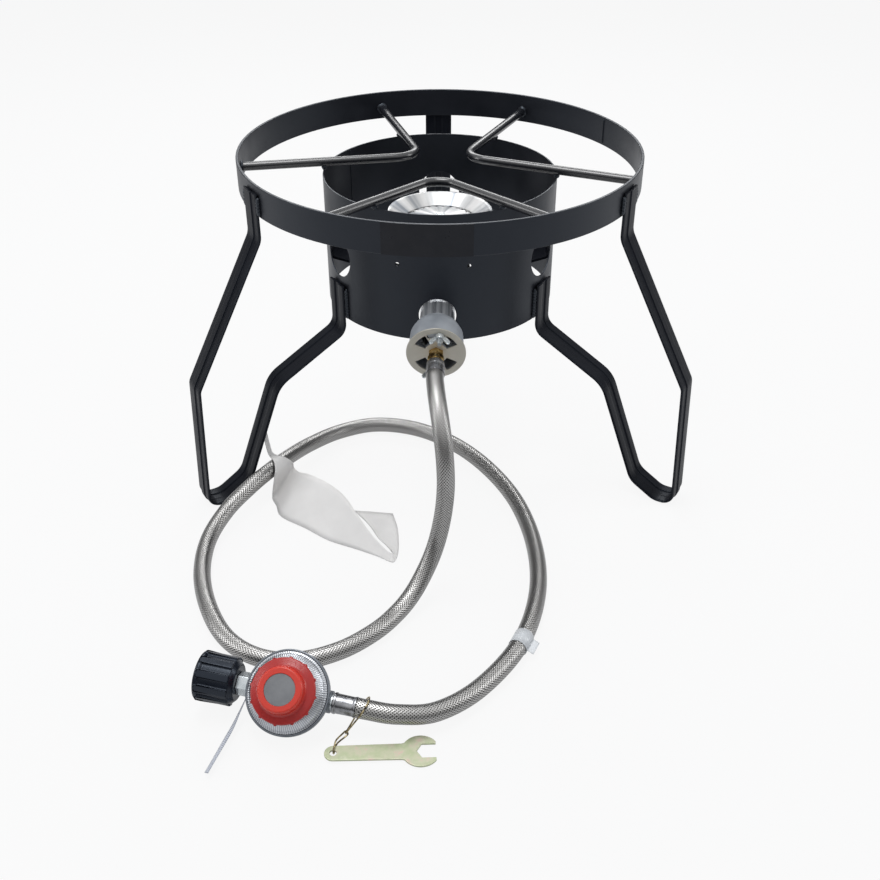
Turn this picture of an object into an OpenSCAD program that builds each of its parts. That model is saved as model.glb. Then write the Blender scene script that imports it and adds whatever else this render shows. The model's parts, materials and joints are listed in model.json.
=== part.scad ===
// Single-burner propane cooker on three bent legs, with its braided hose, regulator and key.
// +Z is up, the floor is z = 0 and the ring's axis is the Z axis. The air inlet faces -Y.

/* [Ring and pot supports] */
// Height of the ring's top edge above the floor
stand_h = 358; // [340:1:380]
// Outer diameter of the ring
ring_od = 431.8; // [400:0.2:460]
// Height of the ring's band
ring_band_h = 31.75; // [28:0.25:40]
// Thickness of the ring's band
ring_t = 3; // [2:0.25:5]
// Diameter of the pot support rods
rod_d = 9.5; // [7:0.5:12]
// Depth of the rods' centre line below the ring's top edge
rod_drop = 19.5; // [17:0.5:24]
// Bend radius of each V at the rod's centre line
rod_bend_r = 25; // [16:1:32]
// Length of the plain label on the ring's front
decal_w = 86; // [60:1:120]
// Thickness of the plain label
decal_t = 0.3; // [0.2:0.1:0.6]

/* [Legs] */
// Width of the leg's flat bar
leg_w = 32; // [24:1:36]
// Thickness of the leg's flat bar
leg_t = 3; // [2.5:0.25:4]
// Width of the rib along the middle of the bar
rib_w = 10; // [6:0.5:14]
// Height of the rib
rib_h = 1.2; // [0.6:0.1:2]
// Distance from the ring's top edge down to the bar's end
leg_end_drop = 8; // [6:0.5:12]
// Depth of the shoulder bend below the ring's top edge
shoulder_drop = 56; // [48:1:64]
// How far the knee stands out past the ring
knee_out = 84.5; // [70:0.5:100]
// Height of the knee above the floor
knee_z = 150; // [130:1:166]
// How far the toe stands out past the ring
toe_out = 91; // [74:0.5:104]
// Length of the foot along the floor
foot_len = 22; // [20:1:32]
// How far the heel stands out past the ring
heel_out = 40; // [30:1:50]
// Height of the heel above the floor
heel_z = 20; // [14:1:26]
// How far the inner elbow stands out past the ring
elbow_out = -4; // [-10:0.5:4]
// Height of the inner elbow above the floor
elbow_z = 131; // [118:1:140]
// Height above the floor of the bend at the drum
drum_bend_z = 176; // [168:1:182]
// Length of the bar that lies against the drum
drum_lap = 54; // [44:1:58]

/* [Drum] */
// Outer diameter of the drum
drum_od = 253; // [236:1:264]
// Height of the drum
drum_h = 139.7; // [132:0.1:150]
// Wall thickness of the drum
drum_t = 1.6; // [1:0.1:2.5]
// Gap between the rods and the drum's top edge, bridged by welds
drum_gap = 2.7; // [1:0.1:4]
// Diameter of the cut-out above each leg
cutout_d = 48; // [36:1:54]
// Depth of the cut-outs' centres below the drum's top edge
cutout_drop = 69.5; // [60:1:72]
// Diameter of the two small holes at the front
pilot_d = 4.2; // [3:0.1:6]
// Distance between the two small holes
pilot_pitch = 73.2; // [60:1:90]
// Distance of the small holes' middle from the ring's axis, to the left
pilot_shift = 7; // [0:0.5:10]
// Depth of the small holes below the drum's top edge
pilot_drop = 56; // [44:1:66]
// Diameter of the hole for the burner tube
tube_hole_d = 39; // [38:0.5:44]

/* [Burner] */
// Depth of the burner's rim below the ring's top edge
burner_drop = 71.5; // [66:0.5:80]
// Diameter of the burner's rim
burner_d = 116; // [104:1:128]
// Depth of the dish inside the rim
dish_depth = 10; // [7:0.5:14]
// Diameter of the cap's seat in the dish
cap_seat_d = 78; // [72:1:84]
// Wall thickness of the burner casting
cast_t = 4; // [3:0.25:5]
// Outer diameter of the mixing chamber
chamber_d = 68; // [60:1:74]
// Depth of the chamber's floor below the rim
chamber_depth = 70; // [68:1:74]
// Thickness of the burner cap
cap_t = 5; // [4:0.5:7]
// Number of flame slots round the cap
slot_count = 28; // [16:1:36]
// Width of each flame slot
slot_w = 2.6; // [1.5:0.1:3.4]
// Length of each flame slot
slot_len = 5; // [3:0.5:7]
// Diameter of the burner's fixing bolt
bolt_d = 8; // [6:1:10]
// Width of the burner's bracket
bracket_w = 28; // [22:1:36]
// Thickness of the burner's bracket
bracket_t = 3; // [2:0.5:4]
// How far the bracket's arms rise towards the drum's wall
bracket_rise = 26; // [16:1:32]
// Height of the bracket's turned-up ends
bracket_up = 14; // [12:1:20]

/* [Burner tube and air shutter] */
// Slope of the burner tube below level
tube_tilt = 8; // [4:0.5:10]
// Turn of the burner tube about the ring's axis, to the left
tube_yaw = 1.2; // [0:0.1:3]
// Depth of the tube's axis below the burner's rim, at the burner's centre
tube_drop = 49; // [46:0.5:50]
// Outer diameter of the burner tube
tube_d = 36; // [32:0.5:38]
// Wall thickness of the burner tube
tube_t = 2.5; // [1.5:0.25:4]
// Distance along the axis from the burner's centre to the bell
bell_s = 151; // [146:1:160]
// Length of the bell
bell_len = 38.5; // [34:0.5:42]
// Outer diameter of the bell
bell_d = 57; // [52:0.5:64]
// Wall thickness of the bell
bell_t = 3; // [2:0.25:4]
// Thickness of the bell's face plate
face_t = 3.5; // [2.5:0.25:5]
// Diameter of the air shutter
shutter_d = 60; // [56:0.5:66]
// Thickness of the air shutter
shutter_t = 1.5; // [1:0.1:2]
// Inner radius of the air windows
window_in = 12; // [11:0.5:14]
// Outer radius of the air windows
window_out = 23.5; // [21:0.5:24.5]
// Angle that each window of the shutter spans
window_span = 36; // [28:1:40]
// Radius at which the two studs stand
stud_pitch_r = 21.5; // [20:0.5:23]
// Diameter of the studs
stud_d = 4; // [3:0.5:5]
// Angle of the studs from upright
stud_angle = 10; // [6:1:12]
// Travel of the shutter's slots to either side of upright
slot_travel = 18; // [14:1:19]
// Width of a wing nut from tip to tip
wing_span = 21; // [17:0.5:22]
// Width of the gas jet's hexagon across its flats
jet_hex = 14; // [12:0.5:15]
// Width of the hose nut's hexagon across its flats
hose_hex = 16; // [14:0.5:17]

/* [Hose] */
// Outer diameter of the braided hose
hose_d = 17.9; // [16:0.1:18.4]
// Diameter of the ferrule at the burner
burner_ferrule_d = 18.6; // [16:0.1:19]
// Length of the ferrule at the burner
burner_ferrule_len = 18; // [14:0.5:24]
// Diameter of the ferrule at the regulator
regulator_ferrule_d = 18.8; // [16:0.1:20]
// Length of the ferrule at the regulator
regulator_ferrule_len = 21; // [16:0.5:26]
// Length of the clear label round the hose
wrap_len = 23; // [14:1:30]

/* [Regulator] */
// Lean of the regulator's axis from upright, towards the front
reg_lean = 39; // [30:1:45]
// Turn of the regulator about the upright
reg_yaw = 10; // [0:1:20]
// Turn of the ports about the regulator's own axis
reg_roll = 4; // [0:1:8]
// Diameter of the regulator's rim
rim_d = 74.8; // [70:0.2:78]
// Thickness of the rim
rim_t = 6.6; // [5:0.2:8]
// Diameter of the regulator's body below the rim
body_d = 57.4; // [54:0.2:60]
// Depth of the body below the rim's plane
body_depth = 24; // [22:0.5:26]
// Depth of the ports' axis below the rim's plane
port_drop = 11.3; // [10.5:0.1:12]
// Diameter of the port bosses
port_d = 19.4; // [18:0.2:20]
// How far each boss reaches past the rim
port_out = 0.5; // [0.4:0.1:3]
// Height of the bonnet above the rim's plane
bonnet_h = 13.3; // [12:0.1:15]
// Diameter of the knob's flange
knob_d = 57; // [52:0.5:60]
// Number of grip teeth on the knob's flange
knob_teeth = 12; // [8:1:20]
// Diameter of the knob's hub
knob_hub_d = 39.6; // [34:0.2:42]
// Height of the knob
knob_h = 14.4; // [13:0.2:18]
// Diameter of the disc on the knob
knob_cap_d = 27.2; // [22:0.2:30]
// Diameter of the adjusting screw
screw_d = 8; // [6:0.5:10]
// Diameter of the inlet stem where the nut turns
stem_d = 16; // [14:0.5:18]
// Outer diameter of the coupling nut's core
nut_d = 40; // [38.6:0.2:44]
// Length of the coupling nut
nut_len = 36; // [34:1:50]
// Number of grip ribs on the coupling nut
nut_ribs = 10; // [6:1:14]
// Height of the grip ribs
nut_rib_h = 1.8; // [1:0.1:2.5]
// Diameter of the coupling nut's threaded mouth
nut_mouth_d = 33.4; // [31:0.1:34]

/* [Key, wires and tags] */
// Length of the key from its hole to its jaws' tips
key_len = 88; // [80:1:100]
// Width of the key's handle
key_w = 15.4; // [13:0.2:17]
// Thickness of the key
key_t = 2; // [1.5:0.25:3]
// Opening of the key's jaws
key_jaw = 14.8; // [12:0.2:16]
// Diameter of the key's head
key_head_d = 33.2; // [29:0.2:36]
// Diameter of the key's hole
key_hole_d = 6; // [5.5:0.5:7]
// Diameter of the tie wire
wire_d = 1.5; // [1:0.1:2]
// Thickness of the tags
tag_t = 0.8; // [0.5:0.1:1.2]

/* [Hidden] */
$fn = 64;

// Small clearances: a running fit, a gap between pieces that slide, and the overlap used in cuts
run = 0.05;
slide = 0.3;
cut = 1;

// Places that follow from the sizes above
ring_r = ring_od / 2;
ring_ir = ring_r - ring_t;
rod_z = stand_h - rod_drop;
drum_r = drum_od / 2;
drum_top = rod_z - rod_d / 2 - drum_gap;
drum_bottom = drum_top - drum_h;
burner_z = stand_h - burner_drop;
tube_z = burner_z - tube_drop;
label_angle = 266.8;
leg_angles = [90.5, 210.4, 330.6];
// Each V of rod: its corner in plan, the way that it opens and the angle between its arms
rod_corners = [[-2, -43], [25, 22], [-21, 25.5]];
rod_angles = [270, 21.6, 148];
rod_spans = [89, 88, 84];

// Vectors turned about an axis
function rot_x(a, v) = [v.x, v.y * cos(a) - v.z * sin(a), v.y * sin(a) + v.z * cos(a)];
function rot_z(a, v) = [v.x * cos(a) - v.y * sin(a), v.x * sin(a) + v.y * cos(a), v.z];
function unit(v) = v / norm(v);

// A flat path with its inner corners rounded, each by a short arc of points
arc_steps = 5;
function corner(p, c, n, r) =
    let (
        u = unit(p - c),
        v = unit(n - c),
        half = acos(u * v) / 2,
        back = r / tan(half),
        centre = c + unit(u + v) * r / sin(half),
        from = c + u * back - centre,
        to = c + v * back - centre
    )
    [for (i = [0:arc_steps])
        let (t = i / arc_steps, whole = acos(unit(from) * unit(to)))
        centre + (from * sin((1 - t) * whole) + to * sin(t * whole)) / sin(whole)];
function rounded(path, r) = concat([path[0]],
    [for (i = [1:len(path) - 2]) each corner(path[i - 1], path[i], path[i + 1], r[i - 1])],
    [path[len(path) - 1]]);
function heading(path, i) =
    unit(path[min(i + 1, len(path) - 1)] - path[max(i - 1, 0)]);
function beside(path, d) = [for (i = [0:len(path) - 1])
    let (h = heading(path, i)) path[i] + d * [-h.y, h.x]];
function reversed(list) = [for (i = [len(list) - 1:-1:0]) list[i]];
function band(path, a, b) = concat(beside(path, a), reversed(beside(path, b)));

// A round tube swept along points in space, its sides kept from twisting
function tangent(pts, i, closed) = let (n = len(pts)) closed
    ? unit(pts[(i + 1) % n] - pts[(i + n - 1) % n])
    : unit(pts[min(i + 1, n - 1)] - pts[max(i - 1, 0)]);
function carried(v, t) = unit(v - t * (v * t));
function sides_of(pts, closed, i = 0, v = [0.31, 0.2, 0.93], out = []) = i == len(pts) ? out
    : let (s = carried(v, tangent(pts, i, closed)))
        sides_of(pts, closed, i + 1, s, concat(out, [s]));
module swept_tube(pts, r, sides, closed = false) {
    n = len(pts);
    side = sides_of(pts, closed);
    verts = [for (i = [0:n - 1])
        let (t = tangent(pts, i, closed), a = side[i], b = cross(t, a))
        for (k = [0:sides - 1])
            pts[i] + r * (cos(360 * k / sides) * a + sin(360 * k / sides) * b)];
    last = closed ? n - 1 : n - 2;
    walls = [for (i = [0:last], k = [0:sides - 1])
        let (a = i * sides, b = ((i + 1) % n) * sides, m = (k + 1) % sides)
        each [[a + k, b + k, b + m], [a + k, b + m, a + m]]];
    ends = closed ? [] : [[for (k = [0:sides - 1]) k],
        [for (k = [sides - 1:-1:0]) (n - 1) * sides + k]];
    polyhedron(verts, concat(walls, ends), convexity = 10);
}

// A thin sheet through rows of two points each, thickened to one side
function row_side(rows, i) =
    let (
        a = rows[max(i - 1, 0)], b = rows[min(i + 1, len(rows) - 1)],
        along = (b[0] + b[1]) - (a[0] + a[1])
    )
    unit(cross(rows[i][1] - rows[i][0], along));
module thin_sheet(rows, t) {
    n = len(rows);
    verts = [for (i = [0:n - 1]) let (s = row_side(rows, i) * t)
        each [rows[i][0], rows[i][1], rows[i][1] + s, rows[i][0] + s]];
    walls = [for (i = [0:n - 2], k = [0:3])
        let (a = 4 * i, b = 4 * i + 4, m = (k + 1) % 4)
        each [[a + k, b + m, b + k], [a + k, a + m, b + m]]];
    ends = [[0, 2, 1], [0, 3, 2],
        [4 * n - 1, 4 * n - 3, 4 * n - 2], [4 * n - 1, 4 * n - 4, 4 * n - 3]];
    polyhedron(verts, concat(walls, ends), convexity = 4);
}

// A smooth curve through points, with two steps from each point to the next
function between(a, b, c, d, t) = 0.5 * (2 * b + (c - a) * t
    + (2 * a - 5 * b + 4 * c - d) * t * t + (3 * b - a - 3 * c + d) * t * t * t);
function smooth(p, steps) = let (n = len(p)) concat(
    [for (i = [0:n - 2], k = [0:steps - 1])
        let (a = i > 0 ? p[i - 1] : 2 * p[0] - p[1], d = i < n - 2 ? p[i + 2] : 2 * p[n - 1] - p[n - 2])
        between(a, p[i], p[i + 1], d, k / steps)],
    [p[n - 1]]);

// Ring and pot supports
module top_ring() {
    color([0.13, 0.13, 0.16])
    translate([0, 0, stand_h - ring_band_h])
    rotate_extrude($fn = 180)
        translate([ring_ir, 0]) square([ring_t, ring_band_h]);
}

// One V of round rod: its corner is bent, and its two ends meet the ring's inner face.
// The bend leaves a faint mark round the rod where it starts and ends.
bend_mark_w = 0.6;
module support_rod(i) {
    half = rod_spans[i] / 2;
    setback = rod_bend_r / tan(half);
    color([0.2, 0.2, 0.23])
    intersection() {
        translate([rod_corners[i].x, rod_corners[i].y, rod_z]) rotate([0, 0, rod_angles[i]]) {
            translate([rod_bend_r / sin(half), 0, 0]) rotate([0, 0, 90 + half])
                rotate_extrude(angle = 180 - rod_spans[i], $fn = 96)
                    translate([rod_bend_r, 0]) circle(d = rod_d, $fn = 32);
            for (side = [-1, 1]) rotate([0, 0, half * side])
                translate([setback, 0, 0]) rotate([0, 90, 0]) {
                    cylinder(d = rod_d, h = ring_r, $fn = 32);
                    translate([0, 0, -bend_mark_w / 2])
                        cylinder(d = rod_d + 0.04, h = bend_mark_w, $fn = 32);
                }
        }
        cylinder(r = ring_ir - run, h = stand_h, $fn = 180);
    }
}

// The plain label on the ring's front, bent to the ring
module ring_label() {
    span = decal_w / ring_r * 180 / PI;
    color([0.08, 0.07, 0.07])
    translate([0, 0, stand_h - ring_band_h])
    rotate([0, 0, label_angle - span / 2]) rotate_extrude(angle = span, $fn = 180)
        translate([ring_r + run, 0]) square([decal_t, ring_band_h]);
}

// Legs: one flat bar each, bent from the ring down to the floor and up to the drum.
// A pressed rib stands proud on the outside of the loop and leaves a groove on its inside.
leg_top_r = ring_r + leg_t / 2;
leg_drum_r = drum_r + rib_h + leg_t / 2;
foot_z = rib_h + leg_t / 2;
// Bend radii at the bar's centre line: shoulder, knee, toe, sole, heel, elbow and drum
leg_bends = [20, 14, 12, 20, 24, 34, 16];
leg_path = rounded([
    [leg_top_r, stand_h - leg_end_drop],
    [leg_top_r, stand_h - shoulder_drop],
    [ring_r + knee_out, knee_z],
    [ring_r + toe_out, foot_z],
    [ring_r + toe_out - foot_len, foot_z],
    [ring_r + heel_out, heel_z],
    [ring_r + elbow_out, elbow_z],
    [leg_drum_r, drum_bend_z],
    [leg_drum_r, drum_bend_z + drum_lap]
], leg_bends);
module bar_band(from, to, width) {
    rotate([90, 0, 0]) linear_extrude(height = width, center = true)
        polygon(band(leg_path, from, to));
}
module leg(angle) {
    color([0.14, 0.14, 0.17])
    rotate([0, 0, angle]) difference() {
        union() {
            bar_band(-leg_t / 2, leg_t / 2, leg_w);
            bar_band(0, leg_t / 2 + rib_h, rib_w);
        }
        bar_band(-leg_t / 2 - cut, rib_h - leg_t / 2, rib_w - rib_h);
    }
}

// Drum: an open tube with three round cut-outs, two small holes and the tube's hole
module burner_drum() {
    color([0.16, 0.16, 0.19])
    difference() {
        translate([0, 0, drum_bottom]) cylinder(r = drum_r, h = drum_h, $fn = 128);
        translate([0, 0, drum_bottom - cut])
            cylinder(r = drum_r - drum_t, h = drum_h + 2 * cut, $fn = 128);
        for (a = leg_angles)
            rotate([0, 0, a]) translate([0, 0, drum_top - cutout_drop]) rotate([0, 90, 0])
                cylinder(d = cutout_d, h = drum_od);
        for (side = [-1, 1])
            translate([side * pilot_pitch / 2 - pilot_shift, 0, drum_top - pilot_drop]) rotate([90, 0, 0])
                cylinder(d = pilot_d, h = drum_od, $fn = 24);
        on_tube(tube_d) cylinder(d = tube_hole_d, h = drum_r + drum_t);
    }
}

// Welds: fillets beside each leg at the ring and the drum, nuggets under the rods, and the seam
weld_r = 2.5;
weld_end = 2;
ring_weld_len = ring_band_h - leg_end_drop - 2 * weld_end;
drum_bend_r = leg_bends[6];
drum_weld_len = drum_lap - drum_bend_r - weld_end;
module leg_welds(angle) {
    rotate([0, 0, angle]) for (side = [-1, 1]) translate([0, side * (leg_w / 2 + 0.4), 0]) {
        translate([ring_r + 0.8, 0, stand_h - ring_band_h + weld_end])
            cylinder(r = weld_r, h = ring_weld_len, $fn = 20);
        translate([drum_r, 0, drum_bend_z + drum_bend_r])
            cylinder(r = weld_r, h = drum_weld_len, $fn = 20);
    }
}
// How far along a rod's arm from the V's corner lies a circle round the ring's axis
wall_r = drum_r - drum_t / 2;
function arm_reach(c, a, r) = let (u = [cos(a), sin(a)]) sqrt(pow(c * u, 2) - c * c + r * r) - c * u;
module rod_welds(i) {
    c = rod_corners[i];
    for (side = [-1, 1]) {
        a = rod_angles[i] + side * rod_spans[i] / 2;
        translate([c.x, c.y, 0]) rotate([0, 0, a]) {
            translate([arm_reach(c, a, wall_r), 0, drum_top - 1.5])
                cylinder(r = 3.4, h = drum_gap + 3, $fn = 24);
            translate([arm_reach(c, a, ring_ir) - 2, 0, rod_z]) rotate([0, 90, 0])
                cylinder(d1 = rod_d + 1, d2 = rod_d + 5, h = 3, $fn = 40);
        }
    }
}
seam_angle = 28;
module weld_beads() {
    color([0.18, 0.18, 0.2]) {
        for (a = leg_angles) leg_welds(a);
        for (i = [0:2]) rod_welds(i);
        rotate([0, 0, seam_angle]) translate([ring_ir, 0, stand_h - ring_band_h + weld_end])
            cylinder(r = 1.2, h = ring_band_h - 2 * weld_end, $fn = 20);
    }
}

// Burner casting, about its own upright axis, with z = 0 at the rim
rim_lip = 4;
seat_r = cap_seat_d / 2;
seat_z = -dish_depth - cap_t + 0.5;
chamber_r = chamber_d / 2;
throat_r = seat_r - 3.5;
bowl_depth = 14;
bowl_step = 6;
bowl_base_z = seat_z - bowl_depth;
// Local frame along the sloping tube: its z runs outwards from the burner's centre
module on_tube(s) {
    translate([0, 0, tube_z]) rotate([0, 0, -tube_yaw]) rotate([90 + tube_tilt, 0, 0])
        translate([0, 0, s]) children();
}
function tube_point(s) = [0, 0, tube_z] + rot_z(-tube_yaw, [0, -s * cos(tube_tilt), -s * sin(tube_tilt)]);
socket_len = 14;
socket_s = chamber_r + socket_len;
socket_root = 9;
tube_start = chamber_r - 1;
module burner_casting() {
    color([0.82, 0.83, 0.84])
    difference() {
        union() {
            translate([0, 0, burner_z]) rotate_extrude($fn = 96) polygon([
                [0, -chamber_depth - cast_t], [chamber_r, -chamber_depth - cast_t],
                [chamber_r, bowl_base_z - bowl_step], [seat_r + cast_t, bowl_base_z],
                [seat_r + cast_t, -dish_depth - cast_t], [burner_d / 2, -rim_lip],
                [burner_d / 2, 0], [burner_d / 2 - 2.5, 0], [seat_r, -dish_depth],
                [seat_r, seat_z], [throat_r, seat_z], [throat_r, bowl_base_z],
                [chamber_r - cast_t, bowl_base_z - bowl_step], [chamber_r - cast_t, -chamber_depth],
                [0, -chamber_depth]]);
            difference() {
                on_tube(chamber_r - socket_root)
                    cylinder(d = tube_d + 2 * cast_t, h = socket_len + socket_root);
                translate([0, 0, burner_z - chamber_depth])
                    cylinder(r = chamber_r - cast_t, h = chamber_depth);
            }
        }
        on_tube(0) cylinder(d = tube_d - 2 * tube_t, h = socket_s);
        on_tube(tube_start) cylinder(d = tube_d + 2 * run, h = socket_s);
        translate([0, 0, burner_z - chamber_depth - cast_t - cut])
            cylinder(d = bolt_d + 2 * run, h = cast_t + 2 * cut, $fn = 32);
    }
    color([0.82, 0.83, 0.84]) cap_pillar();
}
// A pillar rises out of the chamber's floor and carries the cap's screw
pillar_d = 16;
screw_hole_d = 5;
bolt_grip = 12;
module cap_pillar() {
    foot = -chamber_depth - cast_t / 2;
    translate([0, 0, burner_z]) difference() {
        translate([0, 0, foot]) cylinder(d = pillar_d, h = seat_z - foot, $fn = 48);
        translate([0, 0, seat_z - bolt_grip])
            cylinder(d = screw_hole_d + 2 * run, h = bolt_grip + cut, $fn = 32);
        translate([0, 0, foot - cut])
            cylinder(d = bolt_d + 2 * run, h = bolt_grip + cast_t / 2 + cut, $fn = 32);
    }
}

// Burner cap: a domed disc, notched all round for the flames
cap_r = seat_r - slide;
module burner_cap() {
    color([0.86, 0.87, 0.88])
    translate([0, 0, burner_z + seat_z]) difference() {
        rotate_extrude($fn = 96) polygon([[screw_hole_d / 2 + run, 0], [cap_r, 0],
            [cap_r, cap_t - 1.5], [cap_r - 3, cap_t], [cap_r - 14, cap_t + 1],
            [screw_hole_d / 2 + run, cap_t + 2]]);
        for (i = [0:slot_count - 1]) rotate([0, 0, (i + 0.5) * 360 / slot_count])
            translate([cap_r - slot_len, -slot_w / 2, -cut])
                cube([slot_len + cut, slot_w, cap_t + 3 * cut]);
    }
}
screw_head_h = 3;
module cap_screw() {
    color([0.75, 0.75, 0.74])
    translate([0, 0, burner_z + seat_z + cap_t + 2]) {
        difference() {
            cylinder(d = 2 * screw_hole_d, h = screw_head_h, $fn = 40);
            translate([-screw_hole_d, -0.6, screw_head_h - 1]) cube([2 * screw_hole_d, 1.2, 1 + cut]);
        }
        translate([0, 0, -cap_t - 2 - bolt_grip + 1])
            cylinder(d = screw_hole_d, h = cap_t + 1 + bolt_grip, $fn = 32);
    }
}

// Bracket: a strap across the drum; its arms rise to the wall and end in flats welded there
bracket_z = burner_z - chamber_depth - cast_t - bracket_t;
bracket_reach = sqrt(pow(drum_r - drum_t, 2) - pow(bracket_w / 2, 2)) - 0.1;
bracket_bend_r = 6;
module burner_bracket() {
    end_x = bracket_reach - bracket_t / 2;
    flat_x = chamber_r + 3;
    mid_z = bracket_z + bracket_t / 2;
    strap = rounded([[-end_x, mid_z + bracket_rise + bracket_up], [-end_x, mid_z + bracket_rise],
        [-flat_x, mid_z], [flat_x, mid_z],
        [end_x, mid_z + bracket_rise], [end_x, mid_z + bracket_rise + bracket_up]],
        [for (i = [1:4]) bracket_bend_r]);
    color([0.15, 0.15, 0.18])
    difference() {
        rotate([90, 0, 0]) linear_extrude(height = bracket_w, center = true)
            polygon(band(strap, -bracket_t / 2, bracket_t / 2));
        translate([0, 0, bracket_z - cut])
            cylinder(d = bolt_d + 2 * run, h = bracket_t + 2 * cut, $fn = 32);
    }
}
bolt_head_h = 5;
module bracket_bolt() {
    color([0.7, 0.7, 0.7]) {
        translate([0, 0, bracket_z - bolt_head_h]) cylinder(d = 1.9 * bolt_d, h = bolt_head_h, $fn = 6);
        translate([0, 0, bracket_z - 0.1])
            cylinder(d = bolt_d, h = bracket_t + cast_t + bolt_grip - 2, $fn = 32);
    }
}

// Burner tube, bell, air shutter and its studs
bell_end = bell_s + bell_len;
tube_end = bell_s + 12;
module burner_tube() {
    color([0.78, 0.79, 0.8])
    on_tube(tube_start) difference() {
        cylinder(d = tube_d, h = tube_end - tube_start);
        translate([0, 0, -cut]) cylinder(d = tube_d - 2 * tube_t, h = tube_end - tube_start + 2 * cut);
    }
}
face_boss_r = 9;
jet_shank_d = 12;
module windows(span, h) {
    for (k = [0:3]) rotate([0, 0, 45 + 90 * k - span / 2])
        rotate_extrude(angle = span, $fn = 96)
            translate([window_in, 0]) square([window_out - window_in, h]);
}
module tube_bell() {
    bell_r = bell_d / 2;
    color([0.6, 0.62, 0.65])
    on_tube(bell_s) difference() {
        rotate_extrude($fn = 96) polygon([[tube_d / 2 + run, 0], [tube_d / 2 + 3, 0],
            [bell_r - 4.5, 5], [bell_r - 1.5, 13], [bell_r - 0.5, bell_len - 4], [bell_r, bell_len - 3],
            [bell_r, bell_len], [jet_shank_d / 2 + run, bell_len],
            [jet_shank_d / 2 + run, bell_len - face_t - 6],
            [face_boss_r, bell_len - face_t - 6], [face_boss_r, bell_len - face_t],
            [bell_r - bell_t - 0.5, bell_len - face_t], [bell_r - bell_t - 1.5, 14],
            [tube_d / 2 + run, 12.5]]);
        translate([0, 0, bell_len - face_t - cut])
            windows(window_span + 8, face_t + 2 * cut);
        for (side = [0, 180]) rotate([0, 0, 90 - stud_angle + side])
            translate([stud_pitch_r, 0, bell_len - face_t - cut])
                cylinder(d = stud_d + 2 * run, h = face_t + 2 * cut, $fn = 24);
    }
}
shutter_s = bell_end + slide;
module arc_slot(r, w, half, h) {
    rotate([0, 0, -half]) rotate_extrude(angle = 2 * half, $fn = 96)
        translate([r - w / 2, 0]) square([w, h]);
    for (a = [-half, half]) rotate([0, 0, a]) translate([r, 0, 0]) cylinder(d = w, h = h, $fn = 24);
}
module air_shutter() {
    color([0.72, 0.7, 0.65])
    on_tube(shutter_s) difference() {
        cylinder(d = shutter_d, h = shutter_t, $fn = 96);
        translate([0, 0, -cut]) {
            cylinder(d = jet_shank_d + 2 * run, h = shutter_t + 2 * cut, $fn = 48);
            windows(window_span, shutter_t + 2 * cut);
            for (side = [90, 270]) rotate([0, 0, side])
                arc_slot(stud_pitch_r, stud_d + 1, slot_travel, shutter_t + 2 * cut);
        }
    }
}
stud_len = 20;
module at_stud(side, s) {
    on_tube(s) rotate([0, 0, 90 - stud_angle + side]) translate([stud_pitch_r, 0, 0])
        rotate([0, 0, stud_angle - 90 - side]) children();
}
module stud(side) {
    color([0.75, 0.77, 0.8])
    at_stud(side, bell_end - face_t) cylinder(d = stud_d, h = stud_len, $fn = 24);
}

// A wing nut: a round hub with two thin wings that lean out along the stud
hub_d = 8;
hub_h = 6;
wing_t = 1.6;
module wing_nut(side) {
    color([0.7, 0.73, 0.76])
    at_stud(side, shutter_s + shutter_t + slide) difference() {
        union() {
            cylinder(d1 = hub_d + 1, d2 = hub_d, h = hub_h, $fn = 40);
            rotate([90, 0, 0]) linear_extrude(height = wing_t, center = true) for (flip = [0, 1])
                mirror([flip, 0]) polygon([[2, 1], [hub_d / 2 + 1, 1.2], [wing_span / 2 - 2, 5],
                    [wing_span / 2, 9], [wing_span / 2 - 0.8, 12], [wing_span / 2 - 3, 12.6],
                    [wing_span / 2 - 5, 10], [hub_d / 2 - 0.5, 5.8], [2, 5.8]]);
        }
        translate([0, 0, -cut]) cylinder(d = stud_d + 2 * run, h = 16 + cut, $fn = 24);
    }
}

// Gas jet: its shank holds the shutter's middle, and its tip points up the tube
jet_hex_s = shutter_s + shutter_t + slide;
jet_hex_h = 8;
jet_nose = 14;
hex_across = 1 / cos(30);
module gas_jet() {
    color([0.72, 0.56, 0.25])
    on_tube(0) difference() {
        union() {
            translate([0, 0, bell_end - face_t - 6 - jet_nose])
                cylinder(d1 = 6, d2 = 10, h = jet_nose + 0.5, $fn = 32);
            translate([0, 0, bell_end - face_t - 6])
                cylinder(d = jet_shank_d, h = jet_hex_s - bell_end + face_t + 7, $fn = 48);
            translate([0, 0, jet_hex_s]) rotate([0, 0, 30])
                cylinder(d = jet_hex * hex_across, h = jet_hex_h, $fn = 6);
            translate([0, 0, jet_hex_s + jet_hex_h - 1]) cylinder(d = 10, h = 7, $fn = 32);
        }
        translate([0, 0, bell_end - face_t - 6 - jet_nose + 3]) cylinder(d = 4, h = 60, $fn = 24);
        cylinder(d = 1.2, h = bell_end, $fn = 16);
    }
}
hose_nut_s = jet_hex_s + jet_hex_h;
hose_nut_h = 8.5;
ferrule_s = hose_nut_s + hose_nut_h;
hose_s = ferrule_s + burner_ferrule_len;
module hose_nut() {
    color([0.74, 0.55, 0.27])
    on_tube(hose_nut_s) difference() {
        rotate([0, 0, 30]) intersection() {
            cylinder(d = hose_hex * hex_across, h = hose_nut_h, $fn = 6);
            cylinder(d1 = hose_hex + 0.6, d2 = hose_hex * 1.3, h = hose_nut_h, $fn = 48);
        }
        translate([0, 0, -cut]) cylinder(d = 10 + 2 * run, h = 6 + cut + slide, $fn = 32);
        cylinder(d = 4, h = hose_nut_h + cut, $fn = 24);
    }
}
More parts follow.
